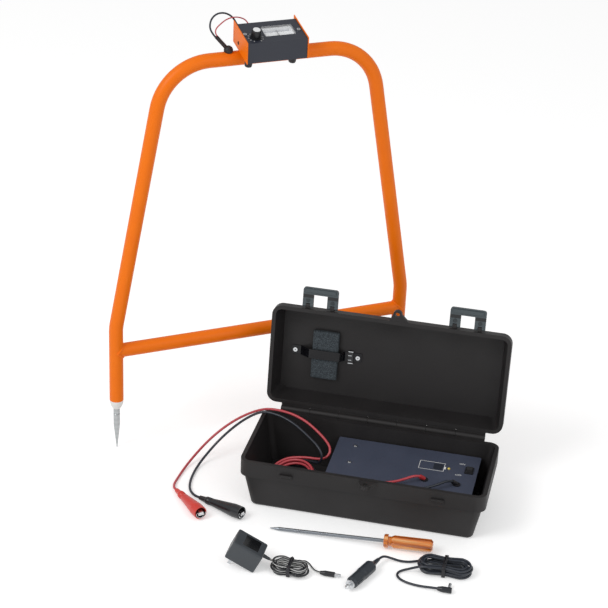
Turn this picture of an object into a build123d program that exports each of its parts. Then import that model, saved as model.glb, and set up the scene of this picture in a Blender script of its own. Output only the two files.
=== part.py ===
# Ground fault locator kit: an A-frame receiver that stands on two ground spikes, a pulse transmitter in
# a hinged carrying case with its output leads, a ground stake, a mains adapter and a vehicle adapter.
# Millimetres, Z up. The origin is the centre of the case's underside, X along the case, Y to its hinge.
import os
from math import asin, atan2, cos, hypot, pi, radians, sin, tan

from build123d import *

os.makedirs("parts", exist_ok=True)

# Clearances shared by every fit
RUNNING = 0.06
SIDE_GAP = 0.4
SOFT_GAP = 0.3
FIT = 0.05

# Carrying case, base
CASE_LENGTH = 432.0
CASE_DEPTH = 186.0
CASE_CORNER = 18.0
BASE_HEIGHT = 96.0
FOOT_LENGTH = 394.0
FOOT_DEPTH = 156.0
FOOT_ROUND = 7.0
BAND_HEIGHT = 30.0
BAND_STEP = 6.0
CASE_WALL = 5.0
RIM_WIDTH = 7.0
LOCK_X = 10.0
LOCK_HOLE = 8.0
LOCK_REACH = 12.0
LOCK_THICK = 8.0
LOCK_ROOTS = (-14.0, 22.0)
CATCH_WIDTH = 22.0
CATCH_REACH = 4.0
CATCH_DROP = 14.0

# Hinge between base and lid
HINGE_OFFSET = 10.5
HINGE_SPAN = 374.0
KNUCKLES = 7
KNUCKLE_GAP = 0.6
KNUCKLE_RADIUS = 6.0
HINGE_PIN = 4.0
LID_OPEN = 98.0

# Carrying case, lid with its latches and handle
LID_HEIGHT = 44.0
LID_BAND = 16.0
LID_STEP = 4.0
LID_DRAFT = 9.0
LID_ROUND = 5.0
LATCH_INSET = (85.0, 82.0)
LATCH_WIDTH = 64.0
LATCH_LENGTH = 34.0
LATCH_THICK = 5.0
LATCH_WINDOW = 25.0
LATCH_BAR = 13.0
LATCH_LIP = 2.0
LATCH_STAND = 5.0
LATCH_PIN = 3.0
LATCH_EYE = 3.4
EAR_WIDTH = 7.0
EAR_RADIUS = 4.0
HANDLE_WIDTH = 96.0
HANDLE_DROP = 36.0
HANDLE_BAR = 10.0
HANDLE_BEND = 12.0
HANDLE_STAND = 8.0
HANDLE_PIN = 4.0
HANDLE_EYE = 6.0
BOSS_WIDTH = 10.0

# Foam pad and strap inside the lid; an inset is measured from the lid's left end
PAD_INSET = 96.0
PAD_V = 101.0
PAD_WIDTH = 49.0
PAD_LENGTH = 92.0
PAD_THICK = 10.0
PAD_CROWN = 1.5
PAD_CORNER = 3.0
STRAP_V = 103.0
STRAP_WIDTH = 17.0
STRAP_THICK = 1.6
STRAP_END_INSETS = (33.0, 163.0)
STRAP_FOOT_INSETS = (50.0, 132.0)
STRAP_SCREW_INSETS = (40.0, 156.0)
STRAP_HOLE = 3.4
STRAP_HEAD = (8.0, 2.0)
BUCKLE_INSET = 143.0
BUCKLE_SIZE = (9.0, 24.0, 3.0)

# Transmitter inside the case
PANEL_Y = -1.0
PANEL_LIP = 3.0
PANEL_SIDE_GAP = 8.0
PANEL_TOP = 70.5
PANEL_THICK = 2.0
PANEL_CORNER = 3.0
TRAY_LEFT = -68.0
TRAY_END_GAP = 8.0
TRAY_SIDE_GAP = 4.0
TRAY_WALL = 1.5
POST_RADIUS = 4.0
PANEL_SCREWS = ((-37.0, 52.0), (-37.0, -4.0), (-37.0, -62.0), (152.0, -62.0))
SCREW_HOLE = 3.4
SCREW_SHANK = 3.0
SCREW_HEAD = (6.4, 2.2)
SCREW_LENGTH = 12.0
SWITCH_INSET = 12.0
SWITCH_Y = 27.0
SWITCH_BEZEL = (15.0, 21.0, 2.0)
SWITCH_BODY = (12.6, 18.8, 16.0)
ROCKER_WIDTH = 10.4
ROCKER_HALF = 7.4
ROCKER_RISE = 3.4
ROCKER_DISH = 1.0
ROCKER_TILT = 9.0
LAMP_AT = (136.0, 25.0)
LAMP_DIAMETER = 5.0
LAMP_FLANGE = 7.0
OUTLETS = ((100.0, -23.0), (157.0, -23.0))
OUTLET_HEADING = (-0.75, -0.35, 0.56)
GROMMET_FLANGE = 13.0
GROMMET_LIP = 2.0
GROMMET_NECK = 9.0
GROMMET_SLEEVE = (7.6, 10.0)
CELL_SIZE = (97.0, 43.0, 52.0)
CELL_AT = (18.0, 24.0)
CELL_TERMINAL = (6.0, 4.0)
CELL_GAP = 3.5
BOARD_INSET = 10.0
BOARD_DEPTH = 96.0
BOARD_THICK = 1.6
BOARD_STAND = 8.0
CHIP_HEIGHTS = (9.0, 14.0, 6.0)
CORE_SIZE = (46.0, 30.0, 38.0)
CORE_BOBBIN = (30.0, 38.0, 24.0)
CORE_AT = (18.0, -38.0)

# A-frame
FRAME_AT = (-251.5, 200.8)
FRAME_TURN = 35.2
TUBE_OD = 25.4
TUBE_WALL = 1.65
LEG_SPACING = 560.0
LEG_END = 101.0
CROSS_HEIGHT = 201.0
KINK_HEIGHT = 248.0
KINK_RADIUS = 90.0
BAR_HEIGHT = 733.0
BAR_SPREAD = 380.0
BEND_RADIUS = 95.0
INSULATOR_LENGTH = 17.0
INSULATOR_STEM = 30.0
INSULATOR_NOSE = 15.0
SPIKE_DIAMETER = 12.0
SPIKE_STEM = 10.0
SPIKE_STEM_LENGTH = 34.0
SPIKE_CONE = 49.0
SPIKE_GROOVE = 72.0
SPIKE_TIP = 1.6

# Receiver box on the A-frame's top bar, measured along the bar, towards its back and up
BOX_LEFT = -62.0
BOX_RIGHT = 50.0
BOX_FRONT = -48.0
BOX_BACK = 10.0
BOX_HEIGHT = 35.0
BOX_TILT = 15.5
SHEET = 1.6
PLATE_NOSE = 1.5
PLATE_TAIL = 8.0
PLATE_RISE = 2.0
SADDLE_THICK = 5.5
SADDLE_WIDTH = 14.0
SADDLE_SPREAD = 22.0
SADDLE_GRIP = 3.0
SADDLE_AT = (-42.0, 30.0)
SADDLE_BOLT = 4.0
BOLT_HEAD = (7.0, 2.6)
BOLT_REACH = 5.0
RUBBER_AT = ((-53.5, -38.5), (26.5, -38.5))
RUBBER_FOOT = (15.0, 12.0)
RUBBER_TAPER = 6.0
METER_AT = (5.5, -19.5)
METER_WINDOW = (55.0, 27.0)
METER_CASE = (60.0, 31.0, 12.0)
METER_WELL = (51.0, 23.0, 6.0)
METER_GLASS = 1.6
NEEDLE_LENGTH = 18.0
NEEDLE_WIDTH = 0.8
NEEDLE_HUB = 4.0
NEEDLE_PIVOT = -9.0
NEEDLE_PIN = 1.2
KNOB_AT = (-40.5, -33.0)
KNOB_DIAMETER = 15.5
KNOB_SKIRT = (19.0, 3.0)
KNOB_HEIGHT = 15.0
KNOB_CAP = (12.5, 1.0)
KNOB_LIFT = 0.6
SHAFT_DIAMETER = 6.0
BUSH = (9.0, 4.0)
BUSH_NUT = (11.5, 2.0)
CONTROL_BODY = (16.0, 9.0)
COVER_SCREWS = ((-56.5, -23.5), (41.0, -23.5))
TAB_MARGIN = 4.5
COVER_SCREW_LENGTH = 8.0
RECEIVER_CELL = (48.5, 26.5, 17.5)
RECEIVER_CELL_AT = (0.0, -20.0)
RECEIVER_BOARD = (60.0, 1.6, 22.0)
RECEIVER_BOARD_BACK = 7.0
EXIT_DROP = 6.0
EXIT_BUSH = (6.0, 3.0)
BALL_AT = -77.0
BALL_RISE = 2.8
BALL_DIAMETER = 16.0
BALL_NECK = 8.0
SLEEVE_DIAMETER = 6.8
SLEEVE_LENGTH = 34.0
SLEEVE_HEADING = (-0.655, 0.755)

# Receiver leads: each has its diameter, its exit along the bar, its offset on the sleeve's end and its route,
# whose points are measured along the bar, up, and towards the front
BLACK_SIGNAL = 3.2
BLACK_SIGNAL_EXIT = -54.0
BLACK_SIGNAL_SIDE = -1.5
BLACK_SIGNAL_ROUTE = [(-54.5, 785.0, -21.5), (-58.5, 794.0, -25.5), (-67.0, 802.5, -23.5),
                      (-80.0, 809.0, -19.0), (-95.0, 810.0, -13.5), (-106.5, 803.0, -8.0),
                      (-110.5, 791.0, -3.5), (-106.5, 780.5, -0.8)]
RED_SIGNAL = 2.2
RED_SIGNAL_EXIT = -34.0
RED_SIGNAL_SIDE = 1.6
RED_SIGNAL_ROUTE = [(-34.3, 785.0, -20.0), (-38.5, 791.5, -24.0), (-49.0, 796.5, -23.5),
                    (-62.0, 799.0, -20.5), (-75.5, 798.0, -15.5), (-87.0, 794.0, -9.5),
                    (-97.5, 788.5, -4.5), (-101.5, 781.5, -1.2)]

# Output leads and their coils in the left compartment of the case
LEAD_DIAMETER = 4.6
COIL_AT = (-133.0, -23.5, 24.5)
COIL_TILT = 20.0
COIL_HIGH_SIDE = 53.0
COIL_INNER = (38.7, 34.7)
COIL_TURNS = 2
COIL_LAYERS = 2
COIL_STEP = 6.2
COIL_CLIMB = 5.5
COIL_APART = 0.3
RED_FEED = [(85.0, -30.0, 83.8), (70.0, -38.5, 84.6), (50.0, -48.5, 80.2), (24.0, -57.0, 75.5),
            (-8.0, -62.5, 74.6), (-42.0, -64.5, 75.8), (-72.0, -64.0, 78.5), (-88.0, -63.5, 68.5),
            (-99.0, -65.0, 49.0)]
RED_FEED_LEAD = 20.0
BLACK_FEED = [(142.0, -30.0, 83.8), (127.0, -40.0, 84.8), (106.0, -53.0, 80.5), (80.0, -64.5, 75.8),
              (48.0, -72.0, 74.6), (14.0, -75.5, 74.5), (-20.0, -76.2, 74.8), (-49.0, -75.8, 76.4),
              (-74.0, -75.0, 78.5), (-92.0, -74.3, 68.0), (-100.0, -74.0, 46.0)]
BLACK_FEED_LEAD = 26.0
RED_TAIL_LEAD = 20.0
RED_TAIL = [(-101.0, 12.0, 57.0), (-86.0, 12.5, 58.5), (-77.0, 18.0, 67.0), (-78.5, 26.5, 77.0),
            (-90.5, 35.0, 86.5), (-108.0, 45.5, 95.0), (-130.0, 57.5, 103.3),
            (-158.0, 69.0, 107.6), (-190.0, 78.0, 106.5),
            (-216.0, 81.0, 102.0), (-249.0, 82.0, 83.5), (-282.0, 77.0, 58.5), (-310.0, 60.0, 33.0),
            (-331.0, 33.0, 10.0), (-339.5, -2.0, 2.9), (-341.5, -32.0, 2.5), (-342.5, -55.0, 3.2),
            (-338.8, -70.5, 4.3)]
BLACK_TAIL_LEAD = 16.0
BLACK_TAIL = [(-106.0, 14.5, 48.0), (-94.5, 8.0, 52.0), (-88.5, 4.0, 61.5), (-89.5, 6.5, 73.5),
              (-99.0, 15.0, 82.0), (-113.0, 26.0, 87.0), (-131.0, 39.0, 92.5),
              (-151.0, 52.0, 98.0), (-173.0, 62.0, 102.0),
              (-197.0, 69.0, 103.2), (-217.0, 72.0, 101.2), (-243.5, 73.0, 83.0), (-269.0, 69.0, 59.5),
              (-292.0, 57.0, 35.0), (-310.0, 37.0, 13.0), (-318.5, 10.0, 3.2), (-319.0, -20.0, 2.5),
              (-316.5, -47.0, 2.5), (-309.5, -69.0, 2.9), (-297.5, -84.3, 4.1)]

# Clips at the ends of the output leads, measured along the clip from its tail
CLIP_TAILS = ((-331.0, -79.0), (-285.0, -90.0))
CLIP_MOUTHS = ((-267.0, -149.0), (-199.0, -129.0))
CLIP_LENGTH = 94.0
BOOT_RELIEF = (8.0, 10.4, 14.0)
BOOT_SHOULDER = (24.0, 78.0)
BOOT_MOUTH = 23.0
BOOT_WALL = 1.6
BOOT_HOLLOW = 38.0
BOOT_REST = 0.2
JAW_WIDTH = 11.0
JAW_METAL = 1.2
JAW_PIVOT = 52.0
JAW_REACH = 3.0
JAW_EAR = 2.6
JAW_SAG = 2.0
JAW_DEPTH = 6.4
JAW_CROWN = 4.4
JAW_TEETH = 6
TOOTH_PITCH = 3.5
TOOTH_HEIGHT = 1.4
TEETH_GAP = 0.5
CLIP_PIN = 2.4

# Ground stake
STAKE_TIP = (-145.0, -143.0)
STAKE_HEADING = 0.8
STAKE_ROD = 6.4
STAKE_POINT = (1.2, 16.0)
STAKE_LENGTH = 200.0
STAKE_TANG = 60.0
GRIP_LENGTH = 84.0
GRIP_DIAMETER = 23.0
COLLAR = (24.0, 7.0)
COLLAR_EDGE = 1.0
COLLAR_NECK = (17.0, 5.0)
GRIP_ROUND = 4.0
FLUTES = 6
FLUTE_RADIUS = 5.5
FLUTE_DEPTH = 1.6

# Mains adapter, resting on its blades and one lower edge
ADAPTER_AT = (-158.6, -255.6)
ADAPTER_SIZE = (55.0, 43.0, 37.0)
ADAPTER_CORNER = 3.2
ADAPTER_EDGE = 3.0
ADAPTER_SPLIT = 13.0
ADAPTER_WALL = 2.0
BLADE_AT = -14.5
BLADE_GAP = 12.7
BLADE_SIZE = (6.35, 1.5, 17.0)
ADAPTER_CORE = (38.0, 32.0, 26.0)
RELIEF_SIDE = 12.0
RELIEF = (7.0, 5.0, 14.0)
MAINS_CORD = 3.6
MAINS_ENTRY = [(-113.0, -243.0, 8.3), (-108.3, -241.2, 5.5), (-102.4, -239.0, 3.7)]
RELIEF_RUN = 3.0
MAINS_EXIT = [(-61.0, -240.8, 15.9), (-53.5, -242.5, 13.2), (-47.5, -246.5, 8.4), (-41.0, -249.6, 5.0)]
BARREL_AT = (-33.0, -250.0)
BARREL_BODY = (9.2, 25.0)
BARREL_TIP = (5.5, 10.0)
MAINS_HANK_AT = (-83.0, -256.0)
MAINS_HANK_RUN = 27.0
MAINS_HANK_INNER = 10.0

# Vehicle adapter
CAR_NOSE = (23.0, -279.0)
CAR_TAIL = (50.0, -209.0)
CAR_BARREL = (20.8, 36.0)
CAR_SHOULDER = (16.0, 8.0)
CAR_GRIP = 22.0
CAR_TIP = (8.0, 8.0)
CAR_TIP_STEM = (5.0, 12.0)
CAR_TIP_TRAVEL = 4.0
CAR_RELIEF = (9.0, 6.0, 15.0)
CAR_CONTACT = (14.0, 4.0, 1.0)
CAR_CONTACT_AT = 18.0
CAR_CORD = 4.2
CAR_ENTRY = [(58.7, -186.4, 10.9), (64.8, -179.6, 8.2), (75.5, -177.2, 4.6), (89.0, -178.2, 2.6),
             (104.0, -176.8, 2.4), (119.5, -169.5, 2.9), (131.5, -164.1, 3.6)]
CAR_EXIT = [(131.0, -204.0, 17.6), (120.0, -202.8, 12.6), (109.5, -201.0, 6.4), (99.5, -202.5, 2.8),
            (92.5, -209.0, 2.4), (91.0, -219.0, 2.4), (97.0, -228.0, 2.4), (108.5, -234.5, 2.4),
            (123.0, -238.0, 2.4), (138.0, -239.8, 3.0), (151.5, -240.8, 4.6)]
ELBOW_AT = (163.0, -241.0)
ELBOW_BODY = (10.0, 24.0)
ELBOW_TIP = (5.5, 12.0)
CAR_HANK_AT = (166.5, -184.0)
CAR_HANK_RUN = 50.0
CAR_HANK_INNER = 11.0

# Both hanks
HANK_TURNS = 2
HANK_LAYERS = 4
HANK_CLEAR = 0.6
HANK_WAIST = 0.8
TIE_WIDTH = 6.0
TIE_THICK = 1.2


def write(block, name):
    """Labels a finished piece and writes it to its own file."""
    block.part.label = name
    export_step(block.part, f"parts/{name}.step")


def turned(plane, points):
    """A piece turned about the plane's X axis from its half outline, points along and out from the axis."""
    with BuildPart() as solid:
        with BuildSketch(plane) as half:
            with BuildLine():
                Polyline(*points, close=True)
            make_face()
        revolve(half.sketch, axis=Axis(plane.origin, plane.x_dir))
    return solid.part


def corner_radii(points):
    """The largest even bend at each corner of a cord's route: 0.45 of its shorter run over tan(turn / 2)."""
    spots = [Vector(*p) for p in points]
    radii = []
    for before, here, after in zip(spots, spots[1:], spots[2:]):
        turn = radians((here - before).get_angle(after - here))
        radii.append(0.45 * min((here - before).length, (after - here).length) / tan(turn / 2))
    return radii


def cord_tube(name, points, diameter):
    """A round tube along straight runs joined by tangent arcs."""
    radii = corner_radii(points)
    with BuildPart() as tube:
        with BuildLine() as route:
            FilletPolyline(*points, radius=radii)
        with BuildSketch(Plane(origin=route.line @ 0, z_dir=route.line % 0)) as section:
            Circle(diameter / 2)
        sweep(section.sketch, path=route.line)
    length = route.wire().length
    ratio = tube.part.volume / (pi * diameter**2 / 4 * length)
    bends = " ".join(f"{radius:.0f}" for radius in radii)
    print(f"{name}: length {length:.0f} mm, bend radii {bends}, volume ratio {ratio:.4f}")
    return tube.part


def winding_stations(inner, step, turns, layers, climb):
    """Radius and height of each run: in and out by half a step a half turn, climbing where it reverses."""
    falling = [inner + step / 2 * k for k in range(2 * turns - 1, -1, -1)]
    stations = []
    for layer in range(layers):
        radii = falling if layer % 2 == 0 else falling[::-1]
        stations += [(radius, layer * climb) for radius in radii]
    return stations


def winding_path(plane, stations, run, waist):
    """Runs along the plane's X, drawn in at the waist, joined by half turns whose tangents lie along X."""
    place = plane.from_local_coords
    with BuildLine() as path:
        for k, (radius, height) in enumerate(stations):
            side = 1 if k % 2 == 0 else -1
            end = place((side * run / 2, side * radius, height))
            if run > 0:
                ahead = plane.x_dir * side
                start = place((-side * run / 2, side * radius, height))
                near = place((-side * run / 4, side * radius * (1 + waist) / 2, height))
                middle = place((0, side * radius * waist, height))
                far = place((side * run / 4, side * radius * (1 + waist) / 2, height))
                TangentArc(start, near, tangent=ahead)
                TangentArc(near, middle, tangent=-ahead, tangent_from_first=False)
                TangentArc(middle, far, tangent=ahead)
                TangentArc(far, end, tangent=-ahead, tangent_from_first=False)
            if k + 1 < len(stations):
                next_radius, next_height = stations[k + 1]
                reach = hypot(radius + next_radius, next_height - height) / 2
                crest = (side * (run / 2 + reach), side * (radius - next_radius) / 2,
                         (height + next_height) / 2)
                ThreePointArc(end, place(crest), place((side * run / 2, -side * next_radius, next_height)))
    return path.wire()


def least_gap(line, diameter):
    """The least clear distance between stretches of one winding that lie well apart along it."""
    count = int(line.length / 2)
    pace = line.length / count
    spots = [line.position_at(k * pace, position_mode=PositionMode.LENGTH) for k in range(count + 1)]
    skip = int(2 * diameter)
    nearest = min((spots[i] - spots[j]).length for i in range(count + 1) for j in range(i + skip, count + 1))
    return nearest - diameter


def wound_tube(name, line, diameter):
    """One unbroken tube along a winding's path."""
    with BuildPart() as tube:
        with BuildSketch(Plane(origin=line @ 0, z_dir=line % 0)) as section:
            Circle(diameter / 2)
        sweep(section.sketch, path=line)
    ratio = tube.part.volume / (pi * diameter**2 / 4 * line.length)
    gap = least_gap(line, diameter)
    print(f"{name}: length {line.length:.0f} mm, least gap {gap:.2f} mm, volume ratio {ratio:.4f}")
    return tube.part


# Derived places of the case
BAND_BOTTOM = BASE_HEIGHT - BAND_HEIGHT
CASE_FRONT = -CASE_DEPTH / 2
HINGE_Y = CASE_DEPTH / 2 + HINGE_OFFSET
LID_LEAN = radians(LID_OPEN - 90)
LID = Plane(origin=(0, HINGE_Y, BASE_HEIGHT), x_dir=(1, 0, 0), z_dir=(0, -cos(LID_LEAN), sin(LID_LEAN)))
LID_MID = HINGE_OFFSET + CASE_DEPTH / 2
LID_FRONT = HINGE_OFFSET + CASE_DEPTH
LID_TOP = -LID_HEIGHT
LID_CEILING = LID_TOP + CASE_WALL
KNUCKLE_LENGTH = (HINGE_SPAN - (KNUCKLES - 1) * KNUCKLE_GAP) / KNUCKLES
KNUCKLE_STARTS = [k * (KNUCKLE_LENGTH + KNUCKLE_GAP) - HINGE_SPAN / 2 for k in range(KNUCKLES)]
INNER_LENGTH = CASE_LENGTH - 2 * RIM_WIDTH
INNER_DEPTH = CASE_DEPTH - 2 * RIM_WIDTH
INNER_CORNER = CASE_CORNER - RIM_WIDTH
LID_LEFT = -CASE_LENGTH / 2
LATCH_X = (LID_LEFT + LATCH_INSET[0], -LID_LEFT - LATCH_INSET[1])
PAD_X = LID_LEFT + PAD_INSET
STRAP_ENDS = [LID_LEFT + inset for inset in STRAP_END_INSETS]
STRAP_FEET = [LID_LEFT + inset for inset in STRAP_FOOT_INSETS]
STRAP_SCREWS = [LID_LEFT + inset for inset in STRAP_SCREW_INSETS]
BUCKLE_X = LID_LEFT + BUCKLE_INSET
WEB_REACH = HINGE_OFFSET + 1


def across_case(x):
    """The plane square to the hinge at a place along the case, centred on it: local X back, local Y up."""
    return Plane(origin=(x, HINGE_Y, BASE_HEIGHT), x_dir=(0, 1, 0), z_dir=(1, 0, 0))


def across_lid(x):
    """The same plane turned with the open lid: local X from hinge to latches, local Y into the lid."""
    return Plane(origin=LID.from_local_coords((x, 0, 0)), x_dir=LID.y_dir, z_dir=LID.x_dir)


# Case base: a tapered tub with a stepped rim band, hinge barrels, latch catches and a padlock tab
with BuildPart() as case_base:
    with BuildSketch(Plane.XY):
        RectangleRounded(FOOT_LENGTH, FOOT_DEPTH, CASE_CORNER - BAND_STEP)
    with BuildSketch(Plane.XY.offset(BAND_BOTTOM)):
        RectangleRounded(CASE_LENGTH - 2 * BAND_STEP, CASE_DEPTH - 2 * BAND_STEP, CASE_CORNER - BAND_STEP)
    loft()
    fillet(case_base.faces().sort_by(Axis.Z)[0].edges(), FOOT_ROUND)
    with BuildSketch(Plane.XY.offset(BAND_BOTTOM)):
        RectangleRounded(CASE_LENGTH, CASE_DEPTH, CASE_CORNER)
    extrude(amount=BAND_HEIGHT)
    with BuildSketch(Plane.XY.offset(CASE_WALL)):
        RectangleRounded(FOOT_LENGTH - 2 * CASE_WALL, FOOT_DEPTH - 2 * CASE_WALL, INNER_CORNER)
    with BuildSketch(Plane.XY.offset(BASE_HEIGHT)):
        RectangleRounded(INNER_LENGTH, INNER_DEPTH, INNER_CORNER)
    loft(mode=Mode.SUBTRACT)
    for start in KNUCKLE_STARTS[0::2]:
        with BuildSketch(across_case(start)):
            Circle(KNUCKLE_RADIUS)
            with BuildLine():
                Polyline((0, -KNUCKLE_RADIUS), (0, -KNUCKLE_GAP), (-WEB_REACH, -KNUCKLE_GAP),
                         (-WEB_REACH, -KNUCKLE_RADIUS), close=True)
            make_face()
            Circle(HINGE_PIN / 2, mode=Mode.SUBTRACT)
        extrude(amount=KNUCKLE_LENGTH)
    with BuildSketch(Plane.XY.offset(BASE_HEIGHT - LOCK_THICK)):
        with Locations((LOCK_X, CASE_FRONT - LOCK_REACH)):
            Circle(LOCK_HOLE)
        with BuildLine():
            Polyline((LOCK_X + LOCK_ROOTS[0], CASE_FRONT + 1), (LOCK_X - LOCK_HOLE, CASE_FRONT - LOCK_REACH),
                     (LOCK_X + LOCK_HOLE, CASE_FRONT - LOCK_REACH), (LOCK_X + LOCK_ROOTS[1], CASE_FRONT + 1),
                     close=True)
        make_face()
        with Locations((LOCK_X, CASE_FRONT - LOCK_REACH)):
            Circle(LOCK_HOLE / 2, mode=Mode.SUBTRACT)
    extrude(amount=LOCK_THICK - KNUCKLE_GAP)
    for latch_x in LATCH_X:
        with BuildSketch(Plane(origin=(latch_x - CATCH_WIDTH / 2, CASE_FRONT, BASE_HEIGHT - CATCH_DROP),
                               x_dir=(0, 1, 0), z_dir=(1, 0, 0))):
            with BuildLine():
                Polyline((1, 0), (-CATCH_REACH, 0), (-CATCH_REACH, -CATCH_REACH), (1, -2 * CATCH_REACH),
                         close=True)
            make_face()
        extrude(amount=CATCH_WIDTH)
write(case_base, "case_base")

with BuildPart() as hinge_pin:
    with BuildSketch(across_case(-HINGE_SPAN / 2)):
        Circle(HINGE_PIN / 2)
    extrude(amount=HINGE_SPAN)
write(hinge_pin, "hinge_pin")

# Lid, modelled in its open pose: local X along the case, local Y from hinge to latches, local Z inwards
LATCH_PIVOT = LID_FRONT + LATCH_STAND
LATCH_MID = -LID_BAND / 2
LEG_WIDTH = (LATCH_WIDTH - LATCH_WINDOW) / 2
LEG_OFFSETS = [side * (LATCH_WINDOW + LEG_WIDTH) / 2 for side in (-1, 1)]
EAR_MIDS = [latch_x + offset for latch_x in LATCH_X for offset in LEG_OFFSETS]
HANDLE_N = LID_TOP - HANDLE_STAND
ARM_X = HANDLE_WIDTH / 2
BOSS_INSIDE = ARM_X + HANDLE_BAR / 2 + SIDE_GAP
BOSS_STARTS = (-BOSS_INSIDE - BOSS_WIDTH, BOSS_INSIDE)
LID_TAPER = 2 * (LID_STEP + LID_DRAFT)
LID_NARROW = 2 * (RIM_WIDTH + LID_DRAFT)
STRAP_MOUNTS = [(x, STRAP_V) for x in STRAP_SCREWS]

with BuildPart() as case_lid:
    with BuildSketch(LID.offset(-LID_BAND)):
        with Locations((0, LID_MID)):
            RectangleRounded(CASE_LENGTH - 2 * LID_STEP, CASE_DEPTH - 2 * LID_STEP, CASE_CORNER - LID_STEP)
    with BuildSketch(LID.offset(LID_TOP)):
        with Locations((0, LID_MID)):
            RectangleRounded(CASE_LENGTH - LID_TAPER, CASE_DEPTH - LID_TAPER, CASE_CORNER - LID_STEP)
    loft()
    fillet(case_lid.faces().sort_by(Axis(LID.origin, LID.z_dir))[0].edges(), LID_ROUND)
    with BuildSketch(LID.offset(-LID_BAND)):
        with Locations((0, LID_MID)):
            RectangleRounded(CASE_LENGTH, CASE_DEPTH, CASE_CORNER)
    extrude(amount=LID_BAND)
    with BuildSketch(LID):
        with Locations((0, LID_MID)):
            RectangleRounded(INNER_LENGTH, INNER_DEPTH, INNER_CORNER)
    with BuildSketch(LID.offset(LID_CEILING)):
        with Locations((0, LID_MID)):
            RectangleRounded(CASE_LENGTH - LID_NARROW, CASE_DEPTH - LID_NARROW, INNER_CORNER)
    loft(mode=Mode.SUBTRACT)
    for start in KNUCKLE_STARTS[1::2]:
        with BuildSketch(across_lid(start)):
            Circle(KNUCKLE_RADIUS)
            with BuildLine():
                Polyline((0, -KNUCKLE_RADIUS), (0, -KNUCKLE_GAP), (WEB_REACH, -KNUCKLE_GAP),
                         (WEB_REACH, -KNUCKLE_RADIUS), close=True)
            make_face()
            Circle(HINGE_PIN / 2 + RUNNING, mode=Mode.SUBTRACT)
        extrude(amount=KNUCKLE_LENGTH)
    for start in KNUCKLE_STARTS[0::2]:
        with BuildSketch(across_lid(start)):
            with Locations((KNUCKLE_RADIUS + 2 * SOFT_GAP, -KNUCKLE_GAP)):
                Rectangle(WEB_REACH - KNUCKLE_RADIUS - 2 * SOFT_GAP, KNUCKLE_RADIUS - KNUCKLE_GAP,
                          align=(Align.MIN, Align.MAX))
        extrude(amount=KNUCKLE_LENGTH)
    with BuildSketch(LID.offset(-LOCK_THICK)):
        with Locations((LOCK_X, LID_FRONT + LOCK_REACH)):
            Circle(LOCK_HOLE)
        with BuildLine():
            Polyline((LOCK_X + LOCK_ROOTS[0], LID_FRONT - 1), (LOCK_X - LOCK_HOLE, LID_FRONT + LOCK_REACH),
                     (LOCK_X + LOCK_HOLE, LID_FRONT + LOCK_REACH), (LOCK_X + LOCK_ROOTS[1], LID_FRONT - 1),
                     close=True)
        make_face()
        with Locations((LOCK_X, LID_FRONT + LOCK_REACH)):
            Circle(LOCK_HOLE / 2, mode=Mode.SUBTRACT)
    extrude(amount=LOCK_THICK - SOFT_GAP)
    for ear_x in EAR_MIDS:
        with BuildSketch(across_lid(ear_x - EAR_WIDTH / 2)):
            with Locations((LATCH_PIVOT, LATCH_MID)):
                Circle(EAR_RADIUS)
            with Locations((LID_FRONT - 1, LATCH_MID)):
                Rectangle(LATCH_STAND + 1, 2 * EAR_RADIUS, align=(Align.MIN, Align.CENTER))
            with Locations((LATCH_PIVOT, LATCH_MID)):
                Circle(LATCH_PIN / 2, mode=Mode.SUBTRACT)
        extrude(amount=EAR_WIDTH)
    for start in BOSS_STARTS:
        with BuildSketch(across_lid(start)):
            with Locations((LID_MID, HANDLE_N)):
                Circle(HANDLE_EYE)
                Rectangle(2 * HANDLE_EYE, HANDLE_STAND + 1, align=(Align.CENTER, Align.MIN))
                Circle(HANDLE_PIN / 2, mode=Mode.SUBTRACT)
        extrude(amount=BOSS_WIDTH)
    with BuildSketch(LID.offset(LID_CEILING)):
        with Locations(*STRAP_MOUNTS):
            Circle(SCREW_SHANK / 2)
    extrude(amount=-CASE_WALL / 2, mode=Mode.SUBTRACT)
write(case_lid, "case_lid")

with BuildPart() as lid_pins:
    for ear_x in EAR_MIDS:
        with BuildSketch(across_lid(ear_x - LEG_WIDTH / 2)):
            with Locations((LATCH_PIVOT, LATCH_MID)):
                Circle(LATCH_PIN / 2)
        extrude(amount=LEG_WIDTH)
    for start, eye in zip(BOSS_STARTS, (0, -HANDLE_BAR - SIDE_GAP)):
        with BuildSketch(across_lid(start + eye)):
            with Locations((LID_MID, HANDLE_N)):
                Circle(HANDLE_PIN / 2)
        extrude(amount=BOSS_WIDTH + HANDLE_BAR + SIDE_GAP)
write(lid_pins, "lid_pins")


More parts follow.
